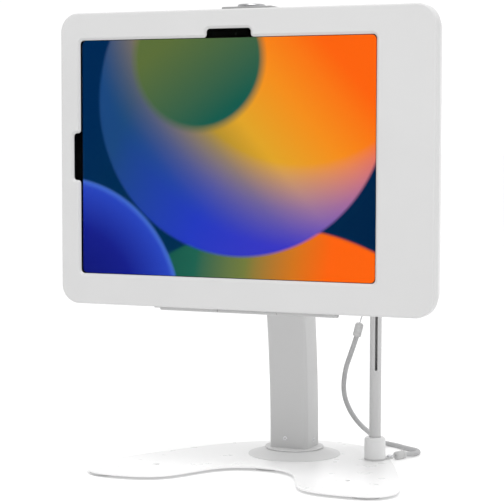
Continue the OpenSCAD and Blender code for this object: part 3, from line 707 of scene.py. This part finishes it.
def base_plate():
    """The plate's outline follows its CAD node; its edges are rounded, and two holes go through it."""
    lowest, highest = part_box("base_plate")
    outline = smooth_closed(outline_of("base_plate", highest.z), 2)
    hole_x, hole_y, hole_r, sides = 87 * MM, -42 * MM, 2.25 * MM, 32
    bm = bmesh.new()
    rows = loft(bm, side_loops(outline, lowest.z, highest.z, 0.7 * MM, 0.5 * MM, range(0, 91, 15), inset_closed))
    levels = []
    for row, z in ((rows[0], lowest.z), (rows[-1], highest.z)):
        holes = [[bm.verts.new(p) for p in plan_loop(circle(hole_r, x, hole_y, sides), z)]
                 for x in (-hole_x, hole_x)]
        fill_between(bm, [row] + holes, normal=(0, 0, 0))
        levels.append(holes)
    for a, b in zip(*levels):
        for i in range(sides):
            j = (i + 1) % sides
            bm.faces.new((a[i], b[i], b[j], a[j]))
    dress(finish_mesh("base_plate_coated", bm, gloss_white, 40), "stand", "base_plate")


def base_feet():
    """Six rubber feet with a rounded lower rim."""
    bm = bmesh.new()
    r = 12.5
    profile = [(r - 1.3, 0), (r - 0.55, 0.12), (r - 0.1, 0.5), (r, 1.0), (r, FOOT_H)]
    for x, y in ((-120, -76), (114, -74), (-57, 62), (57, 62), (8, 98), (0, 0)):
        spun(bm, profile, at(x, y, 0), 64)
    finish_part("base_feet", "rubber", bm, rubber_white, "stand", 32)


def column_boss():
    """Flared ring: thin foot, hollowed flank, a fine groove and a flat rim with rounded edges."""
    lowest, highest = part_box("column_boss")
    centre = (lowest + highest) / 2
    rise = (highest.z - lowest.z) / MM
    out, rim, lip, groove, edge = 41, 26, 1.1, 0.4, 0.3
    profile = [(16, 0), (out - 0.1, 0), (out, 0.1)]
    for i in range(25):
        t = i / 24
        profile.append((out - (out - rim) * t, edge + (rise - lip - groove - edge) * t ** 1.4))
    profile += [(rim - 0.8, rise - lip - groove), (rim - 0.8, rise - lip), (rim - 0.1, rise - lip),
                (rim, rise - lip + 0.1), (rim, rise - 0.35), (rim - 0.1, rise - 0.1), (rim - 0.35, rise),
                (10, rise)]
    piece = turned("column_boss_coated", [(r * MM, h * MM) for r, h in profile], boss_coat,
                   (centre.x, centre.y, lowest.z), steps=128, smooth_angle=40)
    dress(piece, "stand", "column_boss")


def column_path():
    """Centres and turns of the column's line: upright to bend_z, then round a wide bend towards the front."""
    bend_z, bend_r, angle, steps = 12, 750, 17.5, 36
    spots = [(Vector((COLUMN_X, COLUMN_Y, z)) * MM, 0.0) for z in (PLATE_TOP, 8)]
    for i in range(steps + 1):
        turn = math.radians(angle * i / steps)
        centre = Vector((COLUMN_X, COLUMN_Y - bend_r * (1 - math.cos(turn)), bend_z + bend_r * math.sin(turn))) * MM
        spots.append((centre, turn))
    return spots


def column_tube():
    """The bent rectangular tube, its top end rounded and hollow."""
    w, d, r, wall, hollow = 36 * MM, 30 * MM, 3 * MM, 2 * MM, 30 * MM
    path = column_path()

    def section(spot, inset=0.0, lift=0.0):
        centre, turn = spot
        up = Vector((0, -math.sin(turn), math.cos(turn)))
        back = Vector((0, math.cos(turn), math.sin(turn)))
        return [centre + up * lift + Vector((p[0], 0, 0)) + back * p[1]
                for p in rounded(w - 2 * inset, d - 2 * inset, r - inset, 10)]

    bm = bmesh.new()
    top = [(0, -0.5 * MM), (0.15 * MM, -0.15 * MM), (0.5 * MM, 0.0), (wall, 0.0), (wall, -hollow)]
    loft(bm, [section(spot) for spot in path[:-1]] + [section(path[-1], *step) for step in top], close=True)
    dress(finish_mesh("column_tube_coated", bm, grey_coat), "stand", "column_tube")


# ---------------------------------------------------------------- front frame

CASE_W, CASE_H, CASE_Z, CASE_R = 332.0, 247.0, 267.0, 16.0
FACE_Y, SEAM_Y, SHELL_Y, BACK_Y = -66.0, -54.0, -53.6, -32.0
WALL = 2.4
TAPER = math.radians(12)
WINDOW_X, WINDOW_Z = -15.5, 268.5
GLASS_Y = -63.0
TRAY_Y = -54.6
TRAY_SPOTS = [(x, z) for x in (WINDOW_X - 110, WINDOW_X + 80) for z in (WINDOW_Z - 80, WINDOW_Z + 80)]
ROTOR_SPOTS = [(x, z) for x in (-37.5, 37.5) for z in (-37.5, 37.5)]
CABLE = (104, 197)  # the cable's hole in the shell's back, as (x, z)


def window_outline(grow):
    """The window with its two camera notches, grown on every side; anticlockwise as seen from the front."""
    half_w, half_h = 132.5, 99
    notch_x, notch_half, notch_top = -10.7, 19.75, 374.8
    notch_low, notch_high, notch_left = 249.0, 289.0, -154.5
    x0, x1 = WINDOW_X - half_w - grow, WINDOW_X + half_w + grow
    z0, z1 = WINDOW_Z - half_h - grow, WINDOW_Z + half_h + grow
    # corner radii of the window, of the notches and of the places where they meet
    r, n, k = 3.5 + grow, 3.0 + grow, max(2.6 - grow, 0.25)
    top0, top1, top = notch_x - notch_half - grow, notch_x + notch_half + grow, notch_top + grow
    side0, side1, side = notch_low - grow, notch_high + grow, notch_left - grow
    s = 8
    return (arc(x1 - r, z0 + r, r, -90, 0, s) + arc(x1 - r, z1 - r, r, 0, 90, s)
            + arc(top1 + k, z1 + k, k, 270, 180, s) + arc(top1 - n, top - n, n, 0, 90, s)
            + arc(top0 + n, top - n, n, 90, 180, s) + arc(top0 - k, z1 + k, k, 0, -90, s)
            + arc(x0 + r, z1 - r, r, 90, 180, s)
            + arc(x0 - k, side1 + k, k, 0, -90, s) + arc(side + n, side1 - n, n, 90, 180, s)
            + arc(side + n, side0 + n, n, 180, 270, s) + arc(x0 - k, side0 - k, k, 90, 0, s)
            + arc(x0 + r, z0 + r, r, 180, 270, s))


def case_outline(inset, r, steps=14):
    return [(x, CASE_Z + z) for x, z in rounded(CASE_W - 2 * inset, CASE_H - 2 * inset, r, steps)]


def front_frame():
    """Folded front panel: rounded front edge, bevelled window, hollow behind."""
    edge, bevel = 1.5, 2.0

    def ring(inset, y):
        return plan_loop(case_outline(inset, CASE_R - inset), y)

    def opening(grow, y):
        return plan_loop(window_outline(grow), y)

    bm = bmesh.new()
    outer = [ring(0.45, SEAM_Y), ring(0.13, SEAM_Y - 0.13), ring(0.0, SEAM_Y - 0.45), ring(0.0, SEAM_Y - 4.0)]
    for angle in range(0, 91, 10):
        s, c = math.sin(math.radians(angle)), math.cos(math.radians(angle))
        outer.append(ring(edge * (1 - c), FACE_Y + edge * (1 - s)))
    outer_rows = loft(bm, outer + [ring(edge + 0.4, FACE_Y)])
    behind = FACE_Y + WALL
    opening_rows = loft(bm, [
        opening(bevel + 0.5, FACE_Y), opening(bevel + 0.12, FACE_Y), opening(bevel - 0.1, FACE_Y + 0.09),
        opening(0.12, FACE_Y + bevel - 0.16), opening(0, FACE_Y + bevel), opening(0, behind), opening(0.5, behind)])
    inner_rows = loft(bm, [ring(WALL + 0.4, behind), ring(WALL, behind), ring(WALL, SEAM_Y - 0.3),
                           ring(WALL - 0.3, SEAM_Y), ring(0.45, SEAM_Y)])
    fill_between(bm, [outer_rows[-1], opening_rows[0]])
    fill_between(bm, [inner_rows[0], opening_rows[-1]])
    whole = bmesh.new()
    add_shell(whole, bm, FRONT)
    finish_part("front_frame", "coated", whole, white_coat, "front_door")


def window_gasket():
    bm = bmesh.new()
    outline = [(WINDOW_X + x, WINDOW_Z + z) for x, z in rounded(289, 222, 12)]
    plate(bm, outline, FACE_Y + WALL, GLASS_Y - 0.05, 0.1, [window_outline(1)], FRONT, 0.3)
    finish_part("window_gasket", "foam", bm, black_foam, "front_door")


# ---------------------------------------------------------------- rear shell

def rear_shell():
    """Tapered, thin-walled shell with a lip and a rounded back edge, cut for lock, cable and screws."""
    slope, step_in, round_r = math.tan(TAPER), 0.5, 2.2

    def form(offset, y, extra=0.0):
        """The tapered outline at depth y, moved in by the offset; extra also tightens its corners."""
        inset = step_in + (y - SHELL_Y) * slope + offset + extra
        return plan_loop(case_outline(inset, max(CASE_R - step_in - (y - SHELL_Y) * slope / 2 - extra, 4)), y)

    tangent = round_r * math.tan((math.pi / 2 - TAPER) / 2)
    corner_in = step_in + (BACK_Y - SHELL_Y) * slope
    start_y = BACK_Y - tangent * math.cos(TAPER)
    back_r = CASE_R - step_in - (BACK_Y - SHELL_Y) * slope / 2
    outer = [plan_loop(case_outline(inset, CASE_R - inset), y)
             for inset, y in ((0.9, SHELL_Y), (0.62, SHELL_Y + 0.08), (0.55, SHELL_Y + 0.3))]
    outer += [form(0, SHELL_Y + 1.0), form(0, SHELL_Y + 8.0), form(0, start_y - 1.5)]
    for i in range(7):
        angle = TAPER + (math.pi / 2 - TAPER) * i / 6
        y = BACK_Y - round_r + round_r * math.sin(angle)
        inset = corner_in + tangent - round_r * math.cos(angle)
        outer.append(plan_loop(case_outline(inset, back_r - i * 0.12), y))
    outer.append(plan_loop(case_outline(corner_in + tangent + 0.8, back_r - 0.9), BACK_Y))
    wall, lip_in, lip_r, lip_end = WALL / math.cos(TAPER), 3.0, 12.6, SEAM_Y - 4.0
    lip = [(4.4, SHELL_Y + 3.4), (4.4, lip_end + 0.2), (4.2, lip_end), (3.2, lip_end), (lip_in, lip_end + 0.2),
           (lip_in, SHELL_Y), (2.6, SHELL_Y)]
    inner = [form(wall, BACK_Y - WALL, 0.6), form(wall, BACK_Y - WALL), form(wall, SHELL_Y + 6.0),
             plan_loop(case_outline(4.1, lip_r), SHELL_Y + 3.4)]
    inner += [plan_loop(case_outline(inset, lip_r), y) for inset, y in lip] + [outer[0]]
    bm = bmesh.new()
    rows = loft(bm, outer)
    inner_rows = loft(bm, inner)
    bm.faces.new(rows[-1])
    bm.faces.new(inner_rows[0])
    whole = bmesh.new()
    add_shell(whole, bm, FRONT)
    piece = finish_part("rear_shell", "coated", whole, painted_light_shell_coat, "rear_case", 30)
    lock_cut, holes = bmesh.new(), bmesh.new()
    plate(lock_cut, rounded(45, 40, 0.6, 3), -62, -18, 0.01, (), at(0, 0, 392.05) @ FRONT)
    plate(holes, circle(9.0, *CABLE), -45, -22, 0.01, (), FRONT)
    for x, z in ROTOR_SPOTS:
        plate(holes, circle(2.1, COLUMN_X + x, CASE_Z + z, 24), -45, -22, 0.01, (), FRONT)
    for x, z in TRAY_SPOTS:
        plate(holes, circle(1.6, x, z, 24), -45, -31, 0.01, (), FRONT)
    carve(piece, lock_cut, holes)


# ---------------------------------------------------------------- tablet and its tray

def tablet():
    w, h, r = 280.6, 214.9, 10.0
    place = at(WINDOW_X, 0, WINDOW_Z) @ FRONT
    rim = 0.9
    loops = []
    for inset, y in ((1.6, -56.6), (0.8, -56.55), (0.25, -56.25), (0, -55.6), (0, GLASS_Y + 0.35),
                     (0.12, GLASS_Y + 0.1), (0.4, GLASS_Y), (rim, GLASS_Y), (rim, GLASS_Y + 1.4),
                     (rim + 0.5, GLASS_Y + 1.4)):
        loops.append(plan_loop(rounded(w - 2 * inset, h - 2 * inset, r - inset), y))
    bm = bmesh.new()
    add_loft(bm, loops, place)
    finish_part("tablet_body", "blasted", bm, blasted, "rear_case")
    bm = bmesh.new()
    plate(bm, rounded(w - 2, h - 2, 9), GLASS_Y + 0.8, GLASS_Y + 1.4, 0.05, [rounded(262.9, 197.2, 4)], place)
    finish_part("tablet_bezel", "print", bm, black_gloss, "rear_case")
    bm = bmesh.new()
    plate(bm, rounded(262.8, 197.1, 4), GLASS_Y + 0.8, GLASS_Y + 1.4, 0.05, (), place)
    finish_part("tablet_display", "lit", bm, screen, "rear_case")
    bm = bmesh.new()
    plate(bm, rounded(w - 2, h - 2, 9), GLASS_Y, GLASS_Y + 0.8, 0.2, (), place, 0.4)
    finish_part("tablet_glass", "polished", bm, cover_glass, "rear_case")


def tray():
    spots = TRAY_SPOTS
    bm = bmesh.new()
    outline = [(WINDOW_X + x, WINDOW_Z + z) for x, z in rounded(286, 220, 12)]
    plate(bm, outline, TRAY_Y, TRAY_Y + 1.5, 0.2, [circle(1.6, x, z, 24) for x, z in spots], FRONT)
    finish_part("tablet_tray", "sheet", bm, steel, "rear_case")
    bm = bmesh.new()
    for x, z in spots:
        pan_head(bm, 3.0, 1.6, at(x, TRAY_Y, z) @ FRONT @ FLIPPED, 1.0)
        rod(bm, 1.5, TRAY_Y, TRAY_Y + 7.5, at(x, 0, z) @ FRONT)
    finish_part("tray_screws", "turned", bm, black_oxide, "rear_case")
    bm = bmesh.new()
    for x, z in spots:
        place = at(x, 0, z) @ FRONT
        spun(bm, [(1.52, TRAY_Y), (1.6, TRAY_Y + 1.5), (3.7, TRAY_Y + 1.5), (4.0, TRAY_Y + 1.8), (4.0, BACK_Y - WALL),
                  (1.6, BACK_Y - WALL), (1.55, BACK_Y), (0.6, BACK_Y)], place)
    finish_part("tray_standoffs", "turned", bm, zinc, "rear_case")
    bm = bmesh.new()
    for x in (-126, 126):
        for z in (-96, 96):
            plate(bm, rounded(22, 18, 3), -56.6, TRAY_Y, 0.4, (), at(WINDOW_X + x, 0, WINDOW_Z + z) @ FRONT)
    finish_part("foam_pads", "cut", bm, black_foam, "rear_case")
    bm = bmesh.new()
    for sx in (-1, 1):
        for sz in (-1, 1):
            # an L round the tablet's corner, its outline drawn for the upper right corner
            inner_x, inner_z = 140.35, 107.5
            outline = ([(113, 110), (113, inner_z)] + arc(inner_x - 10, inner_z - 10, 10, 90, 0, 10)
                       + [(inner_x, 80), (143, 80)] + arc(131, 98, 12, 0, 90, 10))
            outline = anticlockwise([(sx * x, sz * z) for x, z in outline])
            plate(bm, outline, GLASS_Y + 1, TRAY_Y, 0.25, (), at(WINDOW_X, 0, WINDOW_Z) @ FRONT, 0.15)
    finish_part("corner_blocks", "cut", bm, black_foam, "rear_case")


# ---------------------------------------------------------------- hinge

def hinge():
    y, z, r = -48.0, 141.5, 2.5
    knuckle = 160 / 3  # a third of the hinge's length
    centre = at(0, y, z) @ SIDE
    bm = bmesh.new()
    half = knuckle / 2 - 0.2

    def barrel(low_w, high_w):
        spun(bm, [(1.3, low_w), (r - 0.3, low_w), (r, low_w + 0.3), (r, high_w - 0.3), (r - 0.3, high_w),
                  (1.3, high_w)], centre, 40, close=False)

    barrel(-half, half)
    strap_top = 143.5 + 0.5 + (y - SHELL_Y) * math.tan(TAPER) - 0.8
    strap = [(-half, z + 1.4), (half, z + 1.4), (half, strap_top), (-half, strap_top)]
    plate(bm, strap, y - 0.6, y + 0.6, 0.15, (), FRONT, 0.1)
    slope = at(0, SHELL_Y, 144.0) @ Matrix.Rotation(TAPER, 4, "X")
    rivets, rivet_v = (-18, 0, 18), 13.5
    holes = [circle(1.52, x, rivet_v, 24) for x in rivets]
    plate(bm, [(-half, 5), (half, 5), (half, 17), (-half, 17)], -1.22, -0.02, 0.2, holes, slope, 0.1)
    finish_part("case_hinge_leaf", "formed", bm, painted_shade_hinge_coat, "rear_case")
    bm = bmesh.new()
    for x in rivets:
        spun(bm, [(1.4, -0.05), (1.5, -1.2), (2.6, -1.22), (2.55, -1.55), (2.1, -1.95), (1.2, -2.12), (0.2, -2.14)],
             slope @ at(x, rivet_v, 0), 32)
    finish_part("case_leaf_rivets", "domed", bm, zinc, "rear_case")
    bm = bmesh.new()
    for s in (-1, 1):
        ends = sorted((s * (knuckle / 2 + 0.2), s * 80))
        barrel(*ends)
        plate(bm, [(ends[0], -61), (ends[1], -61), (ends[1], y), (ends[0], y)], 142.3, 143.48, 0.2, (), FLAT, 0.1)
    finish_part("frame_hinge_leaves", "formed", bm, painted_shade_hinge_coat, "front_door")
    bm = bmesh.new()
    rod(bm, 1.2, -79.5, 79.5, centre, 0.25, 32)
    finish_part("hinge_pin", "drawn", bm, steel, "rear_case")


# ---------------------------------------------------------------- lock

def lock():
    y = -41.0
    bm = bmesh.new()
    front_y, back_y = SEAM_Y + 1.2, BACK_Y + 2.8
    depth = back_y - front_y
    middle_y = (back_y + front_y) / 2
    block = [(px, middle_y + py) for px, py in rounded(44.8, depth, 2.0, 6)]
    plate(bm, block, 388.5, 393.2, 0.7, [circle(8.05, 0, y, 64)], FLAT)
    plate(bm, [(-22.4, 372), (22.4, 372), (22.4, 389), (-22.4, 389)], BACK_Y + 0.8, BACK_Y + 2.8, 0.5, (), FRONT)
    for s in (-1, 1):
        plate(bm, [(SEAM_Y + 1.6, 372), (BACK_Y + 2.3, 372), (BACK_Y + 2.3, 389), (SEAM_Y + 1.6, 389)],
              min(s * 22.35, s * 20.4), max(s * 22.35, s * 20.4), 0.4, (), SIDE)
    finish_part("lock_housing", "coated", bm, lock_coat, "rear_case")
    place = at(0, y, 0)
    bm = bmesh.new()
    spun(bm, [(5.56, 382), (7.7, 382), (8.0, 382.3), (8.0, 393.2), (11.3, 393.2), (11.6, 393.5), (11.6, 394.3),
              (11.3, 394.95), (10.8, 395.35), (10.2, 395.4), (6.1, 395.4), (5.75, 395.2), (5.56, 394.9)],
         place, 72, close=False)
    finish_part("lock_barrel", "plated", bm, chromed, "rear_case")
    bm = bmesh.new()
    nut(bm, 9.4, 8.02, 384.5, 388.5, place)
    finish_part("lock_nut", "plated", bm, zinc, "rear_case")
    bm = bmesh.new()
    slot = [(-0.9, -3.4), (0.9, -3.4), (0.9, 3.4), (-0.9, 3.4)]
    plate(bm, circle(5.5, steps=64), 392.2, 395.2, 0.3, [slot], place)
    rod(bm, 5.5, 381.9, 392.25, place, 0.3, 64)
    rod(bm, 2.5, 379, 382.0, place, 0.1, 32)
    finish_part("lock_plug", "plated", bm, chromed, "key_plug")
    bm = bmesh.new()
    outline = arc(0, 0, 6, 32.2, 327.8, 36)
    outer = arc(0, 0, 17.5, -41.5, 10.5, 16)
    inner = arc(0, 0, 14.2, -13.0, -41.5, 10)
    outline = outline + [(13.84, -3.2)] + inner + outer
    outline = [p for i, p in enumerate(outline) if math.dist(p, outline[i - 1]) > 0.02]
    plate(bm, outline, 379.0, 381.5, 0.15, [circle(2.52, steps=24)], place, 0.1)
    finish_part("lock_cam", "pressed", bm, steel, "key_plug")
    bm = bmesh.new()
    pan_head(bm, 3.6, 1.9, place @ at(0, 0, 378.95) @ FLIPPED, 1.3)
    rod(bm, 1.0, 378.9, 380.9, place, 0.1, 24)
    finish_part("cam_screw", "turned", bm, zinc, "key_plug")
    bm = bmesh.new()
    plate(bm, [(-12, -61.6), (-2, -61.6), (-2, -50), (-12, -50)], 386.1, 388.08, 0.2, (), FLAT, 0.1)
    plate(bm, [(-9, 378), (-4, 378), (-4, 387), (-9, 387)], -51.2, -50.0, 0.2, (), FRONT, 0.1)
    finish_part("lock_catch", "folded", bm, steel, "front_door")


# ---------------------------------------------------------------- turning and tilting head

def head():
    y, z = 6.0, CASE_Z
    across = at(COLUMN_X, y, z) @ SIDE
    fore = at(COLUMN_X, 0, z) @ FRONT
    # tilt bracket: disc and two ears, their axis through y
    bm = bmesh.new()
    spun(bm, [(8.06, -28), (27.6, -28), (28, -27.6), (28, -24.5), (27.5, -24), (8.3, -24), (8.06, -24.3)],
         fore, 96, close=False)
    ear = [(-25, -14), (y, -14)] + arc(y, 0, 14, -90, 90, 24)[1:] + [(-25, 14)]
    for low_w, high_w in ((-21, -17), (17, 21)):
        plate(bm, ear, low_w, high_w, 0.5, [circle(4.02, y, 0, 48)], at(COLUMN_X, 0, z) @ SIDE)
    finish_part("tilt_bracket", "coated", bm, grey_coat, "tilter")
    bm = bmesh.new()
    spun(bm, [(2.2, -24.5), (2.3, -22.6), (2.6, -22.0), (2.9, -24.5), (6.2, -24.5), (6.8, -24.1), (7, -23.5), (7, -21),
              (4, -21), (4, 27.4), (3.5, 28), (1, 28)], across, 48)
    finish_part("tilt_axle", "turned", bm, zinc, "tilter")
    bm = bmesh.new()
    nut(bm, 7.5, 4.02, 21, 27, across)
    finish_part("axle_nut", "plated", bm, zinc, "tilter")
    bm = bmesh.new()
    washer(bm, 8.06, 26, -28.95, -28, fore)
    finish_part("thrust_washer", "cut", bm, black_plastic, "tilter")
    bm = bmesh.new()
    for low_w, high_w in ((-16.95, -15), (15, 16.95)):
        washer(bm, 4.06, 12, low_w, high_w, across)
    finish_part("tilt_washers", "cut", bm, black_plastic, "stand")
    # rotor plate with its spindle
    bm = bmesh.new()
    spots = ROTOR_SPOTS
    plate(bm, rounded(95, 95, 8), BACK_Y, BACK_Y + 3, 0.3, [circle(2.1, x, v, 24) for x, v in spots], fore)
    spun(bm, [(8, -29), (8, -24.3), (7.7, -23.95), (6.0, -23.95), (6, -17.1), (5.4, -16.5), (1, -16.5)], fore, 48)
    finish_part("rotor_plate", "machined", bm, steel, "rear_case")
    bm = bmesh.new()
    for x, v in spots:
        pan_head(bm, 3.6, 2.2, at(COLUMN_X + x, BACK_Y + 3, z + v) @ FRONT, 1.5)
        rod(bm, 2.0, BACK_Y - WALL - 3, BACK_Y + 3, at(COLUMN_X + x, 0, z + v) @ FRONT, 0.2, 24)
    finish_part("rotor_screws", "turned", bm, black_oxide, "rear_case")
    bm = bmesh.new()
    plate(bm, rounded(95, 95, 8), BACK_Y - WALL - 3, BACK_Y - WALL, 0.3,
          [circle(2.02, x, v, 24) for x, v in spots], fore)
    finish_part("backing_plate", "cut", bm, steel, "rear_case")
    bm = bmesh.new()
    washer(bm, 6.02, 13, -23.95, -22.5, fore)
    finish_part("spring_washer", "pressed", bm, steel, "rear_case")
    bm = bmesh.new()
    nut(bm, 10, 6.02, -22.5, -17.5, fore)
    finish_part("rotor_nut", "plated", bm, zinc, "rear_case")
    bm = bmesh.new()
    spun(bm, [(6, -34.4), (8.9, -34.4), (8.9, -32), (10.7, -32), (11, -31.7), (11, -30.9), (10.6, -30.4),
              (6.6, -30.4), (6, -31)], at(CABLE[0], 0, CABLE[1]) @ FRONT, 64, close=False)
    finish_part("cable_grommet", "moulded", bm, black_plastic, "rear_case")


def column_head():
    """Collar on the column's rim, and a block whose top is a round knuckle for the axle."""
    centre, turn = column_path()[-1]
    top = at(*centre / MM) @ Matrix.Rotation(turn, 4, "X")
    bm = bmesh.new()
    plate(bm, rounded(36, 30, 3), 0.02, 3.02, 0.5, (), top)
    plate(bm, rounded(31.8, 25, 1), -20, 0.3, 0.2, (), top)
    knuckle_y, knuckle_z = 6.0, CASE_Z
    # side outline of the block and its knuckle
    front_foot, back_foot = [(top @ Vector((0, u, 2))).yz for u in (-9.5, 9.5)]
    outline = ([back_foot] + arc(knuckle_y, knuckle_z, 13, math.degrees(turn), 180 + math.degrees(turn), 36)
               + [front_foot])
    plate(bm, outline, -14.95, 14.95, 0.5, [circle(4.06, knuckle_y, knuckle_z, 48)], at(COLUMN_X, 0, 0) @ SIDE)
    finish_part("column_head", "coated", bm, grey_coat, "stand")


# ---------------------------------------------------------------- post and its fittings

def post():
    px, py = POST_X, POST_Y
    place = at(px, py, 0)
    across = at(px, py, STOP_Z) @ SIDE
    collar_r, screw_z = 9.25, 14
    bm = bmesh.new()
    spun(bm, [(2.02, PLATE_TOP), (4.85, PLATE_TOP), (5.15, PLATE_TOP + 0.3), (5.15, 168), (3.75, 168), (3.75, 16.5),
              (2.02, 16.5)], place, 96, close=False)
    piece = finish_part("post_tube", "coated", bm, grey_coat, "stand")
    tool, hole = bmesh.new(), bmesh.new()
    slot = arc(0, 84.4, 1.1, 180, 360, 12) + [(1.1, 180), (-1.1, 180)]
    plate(tool, slot, -9, 0, 0.01, (), place @ Matrix.Rotation(math.radians(25), 4, "Z") @ FRONT)
    plate(hole, circle(0.9, steps=24), -10, 0, 0.01, (), across)
    carve(piece, tool, hole)
    bm = bmesh.new()
    spun(bm, [(3.7, 162), (3.7, 168), (5.1, 168), (5.15, 168.15), (4.9, 169.3), (4.45, 169.8), (3.6, 170),
              (0.5, 170)],
         place, 64)
    finish_part("post_cap", "turned", bm, grey_coat, "stand")
    bm = bmesh.new()
    spun(bm, [(5.2, 6.0), (9.0, 6.0), (collar_r, 6.25), (collar_r, 23.0), (9.1, 23.25), (8.0, 24.3),
              (7.7, 24.5), (5.5, 24.5), (5.2, 24.2)], place, 96, close=False)
    piece = finish_part("post_collar", "turned", bm, collar_coat, "stand")
    tool = bmesh.new()
    plate(tool, circle(1.55, steps=24), 0, 12, 0.01, (), at(px, py, screw_z) @ FRONT)
    carve(piece, tool)
    bm = bmesh.new()
    pan_head(bm, 1.5, 3.4, at(px, py + 5.17, screw_z) @ FRONT, 0.8)
    finish_part("collar_set_screw", "turned", bm, black_oxide, "stand")
    bm = bmesh.new()
    pan_head(bm, 4.2, 1.9, at(px, py, FOOT_H) @ FLIPPED, 1.6)
    rod(bm, 2.0, 2.4, 13.5, place, 0.2, 24)
    finish_part("post_bolt", "turned", bm, black_oxide, "stand")
    # washer under the collar with the rivet's tongue, as one outline
    tx, ty = RIVET[0] - px, RIVET[1] - py
    reach = math.hypot(tx, ty)
    half_w, tip_r = 3.4, 3.6
    narrow = math.degrees(math.asin(half_w / collar_r))
    tip = math.degrees(math.asin(half_w / tip_r))
    outline = arc(0, 0, collar_r, narrow, 360 - narrow, 64) + arc(reach, 0, tip_r, -tip, tip, 16)
    turn = place @ Matrix.Rotation(math.atan2(ty, tx), 4, "Z")
    bm = bmesh.new()
    plate(bm, outline, PLATE_TOP, 6.0, 0.25, [circle(5.2, steps=64), circle(1.5, reach, 0, 24)], turn, 0.1)
    finish_part("anchor_tab", "pressed", bm, grey_coat, "stand")
    bm = bmesh.new()
    spun(bm, [(1.45, 4.55), (1.45, 6.05), (2.6, 6.05), (2.58, 6.7), (2.2, 7.4), (1.4, 7.8), (0.3, 7.85)],
         at(*RIVET, 0), 40)
    finish_part("anchor_rivet", "domed", bm, zinc, "stand")
    bm = bmesh.new()
    ball_r = 2.6
    profile = [(ball_r * math.cos(math.radians(a)), ball_r * math.sin(math.radians(a))) for a in range(-84, 85, 8)]
    spun(bm, profile, across, 40)
    finish_part("tether_stop", "ball", bm, zinc, "stand")


def column_fasteners():
    bm = bmesh.new()
    for x in (-8, 8):
        pan_head(bm, 5.5, 2.0, at(COLUMN_X + x, COLUMN_Y, FOOT_H) @ FLIPPED, 2.0)
        rod(bm, 3.0, 2.4, 22.5, at(COLUMN_X + x, COLUMN_Y, 0), 0.3, 32)
    finish_part("column_bolts", "turned", bm, black_oxide, "stand")
    bm = bmesh.new()
    bores = [circle(3.02, x, 0, 32) for x in (-8, 8)]
    plate(bm, rounded(31.8, 25.4, 1), PLATE_TOP, 26.5, 0.3, bores, at(COLUMN_X, COLUMN_Y, 0))
    finish_part("column_spigot", "milled", bm, steel, "stand")
    bm = bmesh.new()
    spun(bm, [(0.2, -14.6), (0.9, -14.6), (1.0, -15.3), (1.8, -15.3), (2.0, -15.1), (2.0, -12.8), (0.4, -12.75)],
         at(COLUMN_X - 3, COLUMN_Y, 20) @ FRONT, 32)
    spun(bm, [(0.4, 15.95), (2.0, 16.0), (2.0, 18.1), (1.8, 18.3), (1.0, 18.3), (0.9, 17.6), (0.2, 17.6)],
         at(COLUMN_X, COLUMN_Y, 18) @ SIDE, 32)
    finish_part("column_set_screws", "turned", bm, zinc, "stand")


camera_and_light()
tether()
base_plate()
base_feet()
column_boss()
column_fasteners()
column_tube()
column_head()
post()
head()
rear_shell()
tray()
tablet()
hinge()
lock()
front_frame()
window_gasket()
